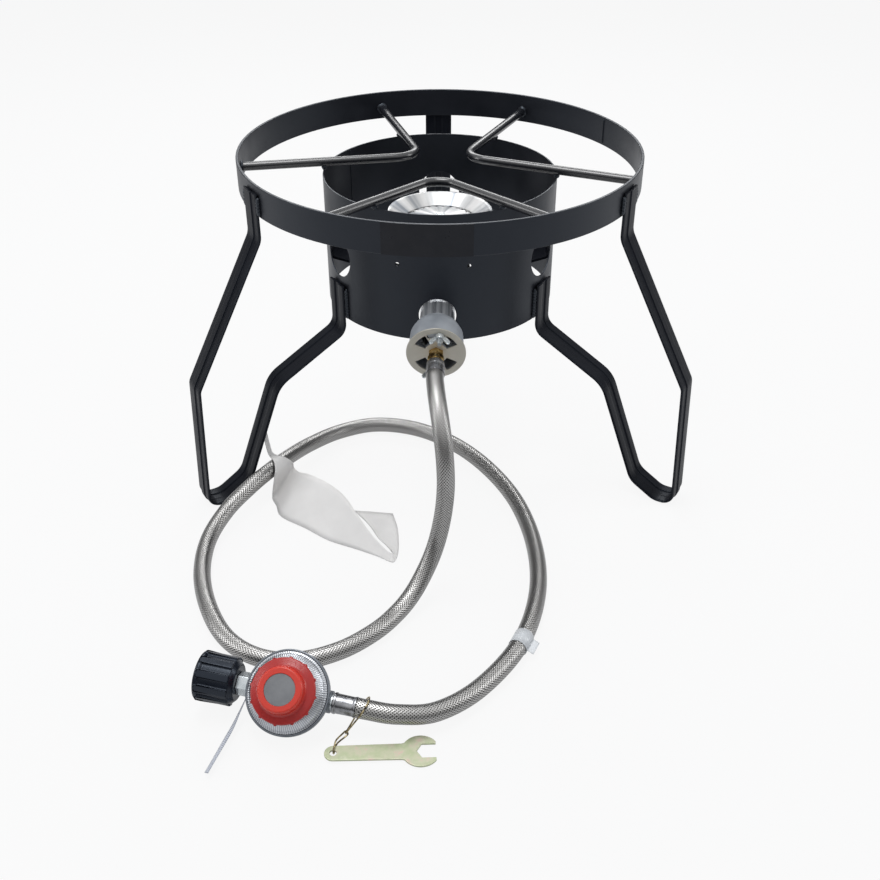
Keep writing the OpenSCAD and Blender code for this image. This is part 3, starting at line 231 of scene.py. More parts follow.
class Finish:
    """The material of one slot, with short ways to add noise, ramps, arithmetic and bump."""

    def __init__(self, slot, name, colour, roughness, metallic=0.0, specular=0.5):
        self.mat = bpy.data.materials.new(name)
        self.mat.use_nodes = True
        self.tree = self.mat.node_tree
        self.shader = self.tree.nodes["Principled BSDF"]
        self.shader.inputs["Base Color"].default_value = (*colour, 1)
        self.shader.inputs["Roughness"].default_value = roughness
        self.shader.inputs["Metallic"].default_value = metallic
        self.shader.inputs["Specular IOR Level"].default_value = specular
        self.place = self.tree.nodes.new("ShaderNodeTexCoord").outputs["Object"]
        FINISHES[slot] = self

    def node(self, kind, **values):
        made = self.tree.nodes.new(kind)
        for key, value in values.items():
            setattr(made, key, value)
        return made

    def link(self, source, target):
        self.tree.links.new(source, target)

    def noise(self, scale, detail=3.0, rough=0.55, stretch=(1, 1, 1), source=None):
        mapping = self.node("ShaderNodeMapping")
        mapping.inputs["Scale"].default_value = stretch
        self.link(source or self.place, mapping.inputs["Vector"])
        texture = self.node("ShaderNodeTexNoise")
        texture.inputs["Scale"].default_value = scale
        texture.inputs["Detail"].default_value = detail
        texture.inputs["Roughness"].default_value = rough
        self.link(mapping.outputs[0], texture.inputs["Vector"])
        return texture.outputs["Fac"]

    def math(self, operation, a, b=0.0):
        return node_math(self.tree, operation, a, b)

    def ramp(self, source, *stops):
        made = self.node("ShaderNodeValToRGB")
        elements = made.color_ramp.elements
        while len(elements) < len(stops):
            elements.new(0.5)
        for element, (position, colour) in zip(elements, stops):
            element.position = position
            element.color = (*colour, 1)
        self.link(source, made.inputs["Fac"])
        return made.outputs["Color"]

    def range(self, source, low, high, to_low, to_high):
        return map_range(self.tree, source, low, high, to_low, to_high)

    def local(self, matrix):
        """Object coordinates seen from a frame that is moved and turned by the matrix."""
        mapping = self.node("ShaderNodeMapping", vector_type="TEXTURE")
        mapping.inputs["Location"].default_value = matrix.translation
        mapping.inputs["Rotation"].default_value = matrix.to_euler()
        self.link(self.place, mapping.inputs["Vector"])
        return mapping.outputs[0]

    def polar(self, source=None):
        """Angle, radius and height of a place about its frame's upright axis."""
        split = self.node("ShaderNodeSeparateXYZ")
        self.link(source or self.place, split.inputs[0])
        x, y, z = split.outputs
        squares = self.math("ADD", self.math("MULTIPLY", x, x), self.math("MULTIPLY", y, y))
        return self.math("ARCTAN2", y, x), self.math("SQRT", squares), z

    def direction(self, angle):
        """A place that knows only the direction from the axis, for rays and streaks."""
        made = self.node("ShaderNodeCombineXYZ")
        self.link(self.math("COSINE", angle), made.inputs[0])
        self.link(self.math("SINE", angle), made.inputs[1])
        return made.outputs[0]

    def uv(self):
        """The two coordinates of the piece's own UV map."""
        split = self.node("ShaderNodeSeparateXYZ")
        self.link(self.node("ShaderNodeUVMap", uv_map="UVMap").outputs[0], split.inputs[0])
        return split.outputs[0], split.outputs[1]

    def wave(self, phase):
        """A sine between 0 and 1."""
        return self.range(self.math("SINE", phase), -1, 1, 0, 1)

    def colour(self, source, *stops):
        self.link(self.ramp(source, *stops), self.shader.inputs["Base Color"])

    def roughness(self, source, low, high, to_low, to_high):
        self.link(self.range(source, low, high, to_low, to_high), self.shader.inputs["Roughness"])

    def mottle(self, scale, dark, light, detail=3.0):
        """Clouds of two colours."""
        self.colour(self.noise(scale, detail), (0.3, dark), (0.7, light))

    def uneven(self, scale, low, high):
        """Roughness that drifts between two values."""
        self.roughness(self.noise(scale), 0.3, 0.7, low, high)

    def bump(self, height, depth, strength=1.0):
        """Height from 0 to 1 stands for a relief of that depth in metres."""
        made = self.node("ShaderNodeBump")
        made.inputs["Distance"].default_value = depth
        made.inputs["Strength"].default_value = strength
        self.link(height, made.inputs["Height"])
        self.link(made.outputs[0], self.shader.inputs["Normal"])

    def grain(self, scale, depth, strength=0.5, **shape):
        """A noisy relief of that depth in metres."""
        self.bump(self.noise(scale, **shape), depth, strength)

# %% [markdown]
# ## Two frames of reference
# The burner tube slopes and the regulator leans, so a pattern that runs round them, such as a
# thread or a fine serration, is worked out in their own frames. These repeat the CAD's numbers.

# %% The tube's and the regulator's frames
TUBE_HEIGHT = 0.2375
TUBE_SLOPE = math.radians(8)
TUBE_YAW = math.radians(1.2)
tube_frame = (Matrix.Translation((0, 0, TUBE_HEIGHT)) @ Matrix.Rotation(-TUBE_YAW, 4, "Z")
              @ Matrix.Rotation(math.pi / 2 + TUBE_SLOPE, 4, "X"))
REGULATOR_CENTRE = Vector((-0.1322, -0.4759, 0.034825))
REGULATOR_YAW = math.radians(10)
REGULATOR_LEAN = math.radians(39)
REGULATOR_ROLL = math.radians(4)
regulator_frame = (Matrix.Translation(REGULATOR_CENTRE) @ Matrix.Rotation(-REGULATOR_YAW, 4, "Z")
                   @ Matrix.Rotation(REGULATOR_LEAN, 4, "X") @ Matrix.Rotation(-REGULATOR_ROLL, 4, "Z"))
print("tube points to", [round(v, 3) for v in tube_frame.col[2][:3]])

# %% [markdown]
# ## Black powder coat
# Powder coat is baked plastic: nearly black, a little blue, with an orange-peel skin and a satin
# gloss. Fine noise gives the peel and a broad one varies the gloss. The one paint is made in
# copies: darker on the bars, as painted shade, lighter on the ring and the drum, as painted light,
# and glossier on the rods and the welds, whose highlights come out stronger.

# %% Powder coat and label
COAT_BLUE = (0.74, 0.85, 1.0, 1)


def powder_coat(slot, name, dark, light, specular):
    """Black powder coat between two shades, with orange peel and cloudy gloss."""
    made = Finish(slot, name, light, 0.4, specular=specular)
    made.shader.inputs["Specular Tint"].default_value = COAT_BLUE
    cloudy = made.noise(18)
    made.colour(cloudy, (0.3, dark), (0.7, light))
    made.roughness(cloudy, 0.3, 0.7, 0.34, 0.46)
    made.grain(700, 0.00008, 0.6, detail=2)


# One paint in copies: the bars' copy is darker, as painted shade, and the sheet's lighter, as painted
# light.
powder_coat("black_coat", "black coat on bars, darker as painted shade",
            (0.005, 0.0056, 0.0085), (0.0085, 0.0094, 0.0135), 0.13)
powder_coat("weld_coat", "black coat on welds",
            (0.006, 0.0065, 0.009), (0.010, 0.011, 0.014), 0.6)
powder_coat("sheet_coat", "black coat on sheet, lighter as painted light",
            (0.0085, 0.009, 0.012), (0.013, 0.0136, 0.0175), 0.42)

rod_coat = Finish("glossy_coat", "glossy black coat", (0.010, 0.011, 0.014), 0.24, specular=0.7)
rod_coat.shader.inputs["IOR"].default_value = 1.62
rod_coat.grain(300, 0.00002, 0.3, detail=2)
rod_coat.uneven(60, 0.20, 0.30)
rod_coat.mottle(40, (0.008, 0.009, 0.012), (0.014, 0.015, 0.019))

label = Finish("dark_label", "bare dark label", (0.013, 0.011, 0.0115), 0.3, specular=0.3)
label.shader.inputs["Specular Tint"].default_value = COAT_BLUE
label.grain(160, 0.00006, detail=4)
label.uneven(60, 0.26, 0.36)
label.mottle(90, (0.0105, 0.0088, 0.0092), (0.0150, 0.0128, 0.0132))

# %% [markdown]
# ## Cast aluminium
# The burner is cast and then turned on a lathe, so its dish has fine rings round its axis. Broad
# rays of light and dark are painted into its colour, as painted reflections of its streaked sheen.
# Rings come from the sine of the radius, and rays from noise that reads only the direction from the
# axis.

# %% Burner casting
RING_WAVES = 9000
cast = Finish("cast_aluminium", "turned cast aluminium", (0.55, 0.56, 0.57), 0.34, metallic=1.0)
cast_angle, cast_radius, _ = cast.polar()
# Painted reflections: broad rays of light and dark colour stand for the turned dish's streaked sheen.
rays = cast.noise(2.6, source=cast.direction(cast_angle))
cast.colour(rays, (0.38, (0.20, 0.215, 0.24)), (0.48, (0.40, 0.41, 0.42)), (0.62, (0.60, 0.60, 0.60)))
rings = cast.math("SINE", cast.math("MULTIPLY", cast_radius, RING_WAVES))
relief = cast.math("ADD", cast.math("MULTIPLY", rings, 0.35), cast.noise(900, detail=2))
cast.bump(relief, 0.00005, 0.5)
cast.uneven(60, 0.28, 0.44)

# %% [markdown]
# ## Drawn tube, die castings and plated steel
# The tube is drawn through a ring, which leaves fine streaks along it; the broad light and dark
# bands along it are painted reflections. The bell and the regulator are die cast, with a matt
# blue-grey skin. The shutter is a stamped disc with dull warm plating.

# %% Tube, castings and sheet
tube = Finish("bright_tube", "bright drawn tube", (0.60, 0.61, 0.63), 0.3, metallic=0.72)
tube_place = tube.direction(tube.polar(tube.local(tube_frame))[0])
# Painted reflections: broad light and dark bands along the tube; the grain below makes its fine drawing
# streaks.
reflection_bands = tube.noise(3.2, detail=4, source=tube_place)
tube.colour(reflection_bands, (0.36, (0.20, 0.21, 0.23)), (0.5, (0.50, 0.52, 0.55)), (0.64, (0.78, 0.79, 0.81)))
tube.grain(60, 0.00003, source=tube_place)
tube.roughness(reflection_bands, 0.3, 0.7, 0.24, 0.36)

grey = Finish("grey_casting", "grey die casting", (0.42, 0.45, 0.49), 0.38, metallic=0.5)
grey.grain(1100, 0.00006, 0.7)
grey.mottle(45, (0.37, 0.40, 0.44), (0.48, 0.51, 0.55))
grey.uneven(90, 0.32, 0.48)

# A darker copy of the grey casting for the regulator's body, so that its underside stays dark: painted
# shade.
shaded_rim_grey = Finish("shaded_rim_grey", "grey rim darkened as painted shade", (0.17, 0.19, 0.215), 0.34, metallic=0.5)
shaded_rim_grey.grain(900, 0.00005, 0.6)
shaded_rim_grey.mottle(60, (0.145, 0.16, 0.185), (0.20, 0.22, 0.245))

plated = Finish("plated_sheet", "satin plated sheet", (0.54, 0.52, 0.46), 0.42, metallic=0.4)
plated.grain(600, 0.00003, stretch=(1, 0.2, 0.2))
plated.mottle(40, (0.50, 0.48, 0.42), (0.58, 0.56, 0.50))

# %% [markdown]
# ## The bonnet's serration
# The regulator's bonnet is pressed bright metal with fine grooves that run down its cone. They are
# a sine of the angle about the regulator's own axis.

# %% Serrated bonnet
BONNET_GROOVES = 110
bonnet = Finish("serrated", "serrated bonnet", (0.52, 0.54, 0.57), 0.3, metallic=0.85)
bonnet_angle = bonnet.polar(bonnet.local(regulator_frame))[0]
grooves = bonnet.wave(bonnet.math("MULTIPLY", bonnet_angle, BONNET_GROOVES))
# Painted shade and highlight: the colour is darker in the grooves and lighter on the ridges.
bonnet.colour(grooves, (0.15, (0.36, 0.38, 0.42)), (0.8, (0.62, 0.64, 0.67)))
bonnet.bump(grooves, 0.00012, 0.8)
bonnet.uneven(120, 0.24, 0.38)

# %% [markdown]
# ## Zinc, brass and steel
# Small fittings are plated or plain metal. Zinc is a little blue and mottled, brass has a warm
# stain that changes over a few millimetres, and the crimped ferrules are brighter steel.

# %% Small metals
zinc = Finish("zinc", "bright zinc plate", (0.60, 0.64, 0.67), 0.26, metallic=0.75)
zinc.mottle(70, (0.48, 0.53, 0.56), (0.72, 0.76, 0.78))
zinc.uneven(220, 0.18, 0.36)
zinc.grain(900, 0.00003)

threaded = Finish("threaded", "threaded zinc", (0.50, 0.54, 0.57), 0.3, metallic=0.95)
THREAD_PITCH = 0.0007
stud_along = threaded.polar(threaded.local(tube_frame))[2]
thread = threaded.wave(threaded.math("MULTIPLY", stud_along, math.tau / THREAD_PITCH))
threaded.bump(thread, 0.0003, 1.0)
# Painted shade and highlight: dark in the thread's roots and light on its crests.
threaded.colour(thread, (0.1, (0.16, 0.18, 0.19)), (0.8, (0.66, 0.70, 0.72)))

brass = Finish("brass", "machined brass", (0.60, 0.40, 0.14), 0.24, metallic=1.0)
brass.colour(brass.noise(170, detail=4), (0.34, (0.34, 0.19, 0.07)), (0.5, (0.66, 0.44, 0.16)),
             (0.66, (0.88, 0.68, 0.34)))
brass.uneven(300, 0.16, 0.36)
brass.grain(1500, 0.00002, stretch=(1, 0.1, 1))

bright = Finish("bright_steel", "rolled bright steel", (0.28, 0.285, 0.30), 0.26, metallic=1.0)
bright.grain(500, 0.00004, 0.6, stretch=(1, 0.15, 1))
bright.mottle(160, (0.17, 0.175, 0.19), (0.38, 0.385, 0.40), detail=4)
bright.uneven(150, 0.18, 0.34)

# %% [markdown]
# ## Key, wire and strap
# The key is stamped steel with yellow zinc plate, pale green with pink blooms. The wires are soft
# iron, stained dark and gold in turns. The strap is a ribbed plastic tie, and its ribs follow its
# own UV map.

# %% Key, wires and strap
key_plate = Finish("yellow_zinc", "yellow zinc plate", (0.50, 0.55, 0.34), 0.36, metallic=0.35)
key_plate.colour(
    key_plate.noise(42, detail=5, rough=0.65),
    (0.34, (0.74, 0.50, 0.46)), (0.44, (0.60, 0.60, 0.44)),
    (0.56, (0.50, 0.56, 0.35)), (0.70, (0.66, 0.66, 0.52)))
key_plate.uneven(90, 0.28, 0.46)
key_plate.grain(800, 0.00003)

wire_metal = Finish("wire", "soft tie wire", (0.30, 0.25, 0.15), 0.34, metallic=0.85)
wire_metal.colour(wire_metal.noise(260), (0.38, (0.05, 0.04, 0.03)), (0.62, (0.52, 0.43, 0.24)))
wire_metal.grain(900, 0.00003)

strap = Finish("foil_tag", "ribbed strap", (0.50, 0.53, 0.60), 0.34)
STRAP_RIBS = 60
ribs = strap.wave(strap.math("MULTIPLY", strap.uv()[1], math.tau * STRAP_RIBS))
strap.bump(ribs, 0.0002, 0.8)
# Painted shade and highlight: dark between the ribs and light on their tops.
strap.colour(ribs, (0.1, (0.36, 0.39, 0.46)), (0.8, (0.60, 0.63, 0.70)))

# %% [markdown]
# ## Plastics and rubber
# The knob is moulded in red, with a soft gloss and a little light scattered inside it. The nut is
# black with a finer, duller skin. Film is nearly clear, and the tag is soft white vinyl.

# %% Plastics
red = Finish("red_plastic", "red moulded plastic", (0.62, 0.045, 0.026), 0.3)
red.shader.inputs["Subsurface Weight"].default_value = 0.08
red.shader.inputs["Subsurface Radius"].default_value = (0.003, 0.0008, 0.0005)
red.shader.inputs["Subsurface Scale"].default_value = 1.0
red.grain(900, 0.00003)
# Painted shade: the flange's outer rim is a darker red than the rest of the knob.
knob_radius = red.polar(red.local(regulator_frame))[1]
red.colour(red.range(knob_radius, 0.0195, 0.0215, 0, 1), (0.0, (0.66, 0.044, 0.026)),
           (1.0, (0.42, 0.020, 0.018)))
red.uneven(60, 0.26, 0.36)

disc = Finish("grey_disc", "grey disc", (0.22, 0.225, 0.235), 0.45, specular=0.3)
disc.grain(900, 0.00003)
disc.mottle(70, (0.19, 0.195, 0.205), (0.25, 0.255, 0.265))

nut_plastic = Finish("black_plastic", "black moulded plastic", (0.006, 0.008, 0.014), 0.26,
                     specular=0.42)
nut_plastic.shader.inputs["Specular Tint"].default_value = COAT_BLUE
nut_plastic.grain(1300, 0.00005, 0.6)
nut_plastic.uneven(120, 0.22, 0.32)

rubber = Finish("black_rubber", "black rubber", (0.02, 0.02, 0.02), 0.7, specular=0.3)
rubber.grain(1200, 0.00004)

film = Finish("clear_film", "clear film", (0.86, 0.89, 0.92), 0.12, specular=0.6)
film.shader.inputs["Alpha"].default_value = 0.6
film.grain(220, 0.0003, 0.9, detail=4)

vinyl = Finish("white_tag", "white vinyl", (0.80, 0.785, 0.77), 0.45, specular=0.35)
vinyl.grain(60, 0.0003, detail=4)
vinyl.mottle(25, (0.76, 0.745, 0.73), (0.84, 0.825, 0.81))

# %% [markdown]
# ## The woven braid
# The hose's braid is flat bundles of fine steel wire, and each bundle passes over and under the
# ones that cross it. Two families of slanting waves make that weave. They read the hose's own UV
# map, which counts metres along it and once round it, so the weave follows every bend. The gaps
# between the bundles are painted dark, as painted shade, which gives the braid its grey.

# %% Braid
BRAID_STEP = 0.0032
BRAID_STARTS = 20
braid = Finish("steel_braid", "woven wire braid", (0.3, 0.3, 0.3), 0.3, metallic=1.0)
metres_along, turns_round = braid.uv()
run_waves = braid.math("MULTIPLY", metres_along, math.tau / BRAID_STEP)
round_waves = braid.math("MULTIPLY", turns_round, math.tau * BRAID_STARTS)
right_hand = braid.wave(braid.math("ADD", run_waves, round_waves))
left_hand = braid.wave(braid.math("SUBTRACT", run_waves, round_waves))
weave = braid.math("MAXIMUM", braid.math("MULTIPLY", right_hand, right_hand),
                   braid.math("MULTIPLY", left_hand, left_hand))
# Painted shade: the colour is darkest in the gaps between bundles and lightest on their crests.
braid.colour(weave, (0.10, (0.075, 0.073, 0.070)), (0.34, (0.26, 0.257, 0.252)),
             (0.9, (0.48, 0.476, 0.47)))
braid.bump(weave, 0.00025, 0.5)
braid.roughness(weave, 0, 1, 0.36, 0.24)

# %% [markdown]
# ## Dress the CAD pieces
# The record names a finish for each node, so a loop can dress them all. Pieces that a later cell
# models again are hidden there, and keep this finish only for the record.

# %% Give every node its finish
SLOT_OF = {part["node"]: part["material_slot"] for part in frame["record"]["subparts"]}
BODY_OF = {node: body for body, members in frame["record"]["behaviour"]["bodies"].items()
           for node in members}
for node_name, obj in nodes.items():
    obj.data.materials.clear()
    obj.data.materials.append(FINISHES[SLOT_OF[node_name]].mat)
for stud in ("stud_upper", "stud_lower"):
    nodes[stud].data.materials[0] = threaded.mat
print("dressed:", len(nodes), "nodes")


# %% [markdown]
# ## Turning a bmesh into a piece
# Each piece ends the same way: smooth faces with sharp edges kept, a finish, a body to ride on
# and the CAD nodes that it stands for.

# %% Piece helper
def finished(bm, name, slot, body, replaced=(), finish=None, smooth_angle=40):
    """Turns a bmesh into a piece: smooth but for its sharp edges, dressed, and riding on a body."""
    mesh = bpy.data.meshes.new(name)
    for face in bm.faces:
        face.smooth = True
    for edge in bm.edges:
        if len(edge.link_faces) == 2 and edge.calc_face_angle(0) > math.radians(smooth_angle):
            edge.smooth = False
    bm.to_mesh(mesh)
    bm.free()
    obj = bpy.data.objects.new(name, mesh)
    scene.collection.objects.link(obj)
    mesh.materials.append(FINISHES[finish or slot].mat)
    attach(obj, body)
    if replaced:
        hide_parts(*replaced)
    return obj


# %% [markdown]
# ## Soft edges on the castings and stampings
# Nothing real has a perfectly sharp edge: a casting's edge is round, paint pulls back from a cut
# one, and both catch a thin line of light. A merged copy of a CAD piece gets its sharp edges
# bevelled by a fraction of a millimetre, and stands for the piece it was copied from. Flat faces
# are joined first, so that the bevel meets whole faces and not slivers.


# %% Rounding a copy of a CAD piece
SHARP_ANGLE = math.radians(30)


def soften(name, width_mm, finish=None, segments=2):
    """A merged copy of a CAD piece with rounded edges, which replaces it."""
    bm = bmesh.new()
    bm.from_mesh(nodes[name].data)
    bmesh.ops.remove_doubles(bm, verts=bm.verts, dist=3e-6)
    bmesh.ops.dissolve_limit(bm, angle_limit=math.radians(0.4), verts=bm.verts, edges=bm.edges)
    edges = [e for e in bm.edges if len(e.link_faces) == 2 and e.calc_face_angle(0) > SHARP_ANGLE]
    bmesh.ops.bevel(bm, geom=edges, offset=width_mm / 1000, offset_type="OFFSET", segments=segments,
                    profile=0.5, affect="EDGES", clamp_overlap=False, material=-1)
    sharp = len(edges)
    piece = finished(bm, name + "_soft", SLOT_OF[name], BODY_OF[name], [name], finish)
    piece.modifiers.new("even shading", "WEIGHTED_NORMAL").keep_sharp = True
    print(name, "faces:", len(piece.data.polygons), "rounded edges:", sharp)


# %% Ring, drum and burner
soften("top_ring", 0.7, "sheet_coat", segments=3)
soften("burner_drum", 0.4, "sheet_coat")
soften("burner_casting", 0.8)
soften("burner_cap", 0.35)
soften("cap_screw", 0.3)
soften("burner_bracket", 0.4)

# %% Bell, shutter and nuts
soften("tube_bell", 0.6)
soften("air_shutter", 0.35)
soften("wing_nut_upper", 0.3)
soften("wing_nut_lower", 0.3)
soften("gas_jet", 0.4)
soften("hose_nut", 0.4)
soften("burner_end_ferrule", 0.3)

# %% Regulator, nut and key
soften("regulator_end_ferrule", 0.3)
soften("regulator_body", 0.4, finish="shaded_rim_grey")
soften("regulator_bonnet", 0.3, finish="serrated")
soften("adjusting_knob", 0.6)
soften("knob_cap", 0.2)
soften("inlet_stem", 0.3)
soften("coupling_nut", 0.8)
soften("key_wrench", 0.35)


# %% [markdown]
# ## Sweeping a section along a route
# Hoses, rods, wires and bent bars are one section carried along a line. The helper starts from the
# section's ring of edges, extrudes it once for each step and moves the new ring to its place. The
# ring is turned only as much as the line bends, so it never twists.


# %% Sweep helpers
def catmull_rom(points, steps):
    """Steps along a smooth curve, from the second of the points to the last but one."""
    out = []
    for a, b, c, d in zip(points, points[1:], points[2:], points[3:]):
        for k in range(steps):
            t = k / steps
            out.append(0.5 * (2 * b + (c - a) * t + (2 * a - 5 * b + 4 * c - d) * t * t
                              + (3 * b - a - 3 * c + d) * t ** 3))
    return out


def smooth_route(points, steps):
    """A smooth curve through all the points."""
    ends = [2 * points[0] - points[1], *points, 2 * points[-1] - points[-2]]
    return catmull_rom(ends, steps) + [points[-1].copy()]


def smooth_loop(points, steps):
    """A smooth closed curve through all the points."""
    return catmull_rom([points[-1], *points, points[0], points[1]], steps)


def carried_frames(route, side, closed=False):
    """A turned and moved matrix for each point: Z along the line, X the carried side."""
    frames = []
    count = len(route)
    for i, here in enumerate(route):
        if closed:
            along = route[(i + 1) % count] - route[i - 1]
        else:
            along = route[min(i + 1, count - 1)] - route[max(i - 1, 0)]
        along.normalize()
        side = (side - along * side.dot(along)).normalized()
        other = along.cross(side)
        frames.append(Matrix((
            (side.x, other.x, along.x, here.x),
            (side.y, other.y, along.y, here.y),
            (side.z, other.z, along.z, here.z),
            (0, 0, 0, 1))))
    return frames


def sweep(section, frames, closed=False, capped=True):
    """A bmesh of the flat section, a list of (x, y), carried through the frames. Its UV map has
    metres along the line in U, and turns round the section in V."""
    bm = bmesh.new()
    ring = [bm.verts.new(frames[0] @ Vector((x, y, 0))) for x, y in section]
    size = len(ring)
    edges = [bm.edges.new((ring[i], ring[(i + 1) % size])) for i in range(size)]
    first_ring, first_edges = ring, edges
    index = {v: (0, i) for i, v in enumerate(ring)}
    for step in range(1, len(frames)):
        made = bmesh.ops.extrude_edge_only(bm, edges=edges)["geom"]
        new_edges = [g for g in made if isinstance(g, bmesh.types.BMEdge)]
        moved = frames[step] @ frames[step - 1].inverted()
        new_ring = [None] * size
        for v in (g for g in made if isinstance(g, bmesh.types.BMVert)):
            old = next(e.other_vert(v) for e in v.link_edges if e.other_vert(v) in index)
            new_ring[index[old][1]] = v
        for i, v in enumerate(new_ring):
            index[v] = (step, i)
            v.co = moved @ v.co
        edges = [e for e in new_edges if index[e.verts[0]][0] == index[e.verts[1]][0] == step]
        ring = new_ring
    if closed:
        bmesh.ops.bridge_loops(bm, edges=edges + first_edges)
    uv = bm.loops.layers.uv.new("UVMap")
    far = [0.0]
    for a, b in zip(frames, frames[1:]):
        far.append(far[-1] + (b.translation - a.translation).length)
    for face in bm.faces:
        places = [index[v] for v in face.verts]
        wraps = {p[1] for p in places} == {0, size - 1}
        for loop, (step, i) in zip(face.loops, places):
            loop[uv].uv = (far[step], 1.0 if wraps and i == 0 else i / size)
    if capped and not closed:
        bm.faces.new(list(reversed(first_ring)))
        bm.faces.new(ring)
    bmesh.ops.recalc_face_normals(bm, faces=bm.faces)
    return bm


def disc_section(radius, sides):
    return [(radius * math.cos(math.tau * k / sides), radius * math.sin(math.tau * k / sides))
            for k in range(sides)]


def round_axis(radius, angle, z=0.0):
    """The place at a radius and an angle about the Z axis."""
    return Vector((radius * math.cos(angle), radius * math.sin(angle), z))


def millimetres(*points):
    return [Vector(p) / 1000 for p in points]


# %% [markdown]
# ## Bending a bar
# A bar bent on a former keeps straight runs between round bends. The helper walks a flat path and
# replaces each inner corner by an arc of a given radius.


# %% Rounded corners
def round_corners(path, radii, steps=8):
    """The path's points, in 3-D, with every inner corner drawn as an arc of the given radius."""
    out = [path[0]]
    for before, here, after, radius in zip(path, path[1:], path[2:], radii):
        u = (before - here).normalized()
        v = (after - here).normalized()
        half = u.angle(v) / 2
        centre = here + (u + v).normalized() * radius / math.sin(half)
        start = here + u * radius / math.tan(half) - centre
        stop = here + v * radius / math.tan(half) - centre
        whole = start.angle(stop)
        for k in range(steps + 1):
            t = k / steps
            arc = start * math.sin((1 - t) * whole) + stop * math.sin(t * whole)
            out.append(centre + arc / math.sin(whole))
    out.append(path[-1])
    return out


# %% [markdown]
# ## The legs
# Each leg is one flat bar: from the ring down to the foot, along the ground and up again to the
# drum. A shallow rib is rolled along its middle, which stiffens it. The rolled rib has soft
# shoulders, so the section is drawn with a gentle rise and then carried along the bent path.

# %% Legs
RING_RADIUS = 0.2159
BAR_WIDTH = 0.032
BAR_THICKNESS = 0.003
RIB_WIDTH = 0.010
RIB_RISE = 0.0012
RIB_SHOULDER = 0.0012
LEG_ANGLES = {"leg_back": 90.5, "leg_left": 210.4, "leg_right": 330.6}
LEG_BENDS = [0.020, 0.014, 0.012, 0.020, 0.024, 0.034, 0.016]
leg_corners = millimetres(
    (217.4, 0, 350), (217.4, 0, 302), (300.4, 0, 150), (306.9, 0, 2.7), (284.9, 0, 2.7),
    (255.9, 0, 20), (211.9, 0, 131), (129.2, 0, 176), (129.2, 0, 230))
leg_line = round_corners(leg_corners, LEG_BENDS)


def rib_height(x):
    """The rib's rise at a place across the bar, flat on top with soft shoulders."""
    shoulder = min(max((RIB_WIDTH / 2 - abs(x)) / RIB_SHOULDER, 0), 1)
    return RIB_RISE * shoulder * shoulder * (3 - 2 * shoulder)


ACROSS = [-0.5, -0.46, -0.42, -0.25] + [x / 100 for x in range(-16, 17)] + [0.25, 0.42, 0.46, 0.5]
EDGE_PULL = {0.5: 0.0009, 0.46: 0.00015}


def bar_side(side):
    """The section's outline on one side, 1 for the outer and -1 for the inner."""
    return [(x * BAR_WIDTH,
             side * (BAR_THICKNESS / 2 - EDGE_PULL.get(abs(x), 0)) + rib_height(x * BAR_WIDTH))
            for x in ACROSS[::side]]


for leg_name, turn in LEG_ANGLES.items():
    around = Matrix.Rotation(math.radians(turn), 4, "Z")
    leg_frames = [around @ f for f in carried_frames(leg_line, Vector((0, 1, 0)))]
    leg_bm = sweep(bar_side(1) + bar_side(-1), leg_frames)
    print(leg_name, "faces:", len(leg_bm.faces))
    finished(leg_bm, leg_name + "_bar", "black_coat", "stand", [leg_name])

# %% [markdown]
# ## The rods
# The pot rests on three bent rods. Each is a V with a rounded corner near the middle, and its two
# ends stop just short of the ring, where a weld takes over.

# %% Rods
ROD_RADIUS = 0.00475
ROD_HEIGHT = 0.3385
ROD_BEND = 0.025
RING_INSIDE = RING_RADIUS - 0.003
RODS = {"rod_front": ((-2, -43), 270, 89), "rod_right": ((25, 22), 21.6, 88),
        "rod_left": ((-21, 25.5), 148, 84)}


def arm_reach(corner, direction, radius):
    """How far along an arm from its corner lies a circle about the ring's axis."""
    across = corner.dot(direction)
    return math.sqrt(across * across - corner.dot(corner) + radius * radius) - across


rod_ends = []
for rod_name, (corner_mm, opening, span) in RODS.items():
    corner = Vector((corner_mm[0] / 1000, corner_mm[1] / 1000, 0))
    arms = [round_axis(1, math.radians(opening + s * span / 2)) for s in (-1, 1)]
    tips = []
    for arm in arms:
        reach = arm_reach(corner, arm, RING_INSIDE)
        outwards = (corner + arm * reach).normalized()
        back = ROD_RADIUS * math.tan(arm.angle(outwards)) + 0.0001
        tips.append(corner + arm * (reach - back) + Vector((0, 0, ROD_HEIGHT)))
        rod_ends.append((corner, arm))
    bend = corner + Vector((0, 0, ROD_HEIGHT))
    rod_line = round_corners([tips[0], bend, tips[1]], [ROD_BEND], 20)
    rod_bm = sweep(disc_section(ROD_RADIUS, 32), carried_frames(rod_line, Vector((0, 0, 1))))
    finished(rod_bm, rod_name + "_bent", "black_coat", "stand", [rod_name],
                                "glossy_coat")
print("rod ends:", len(rod_ends))

# %% [markdown]
# ## Weld metal
# A weld is a row of small frozen puddles, each over the last. A bead beside a leg is a round
# section whose size swells and shrinks along it. The nuggets at the rods' ends and on the drum
# are lumps: a ball of triangles, pushed in and out by smooth noise and then squashed.


# %% Weld helpers
PUDDLE = 0.0034
BEAD_STEP = 0.0006
RIPPLE = 0.12


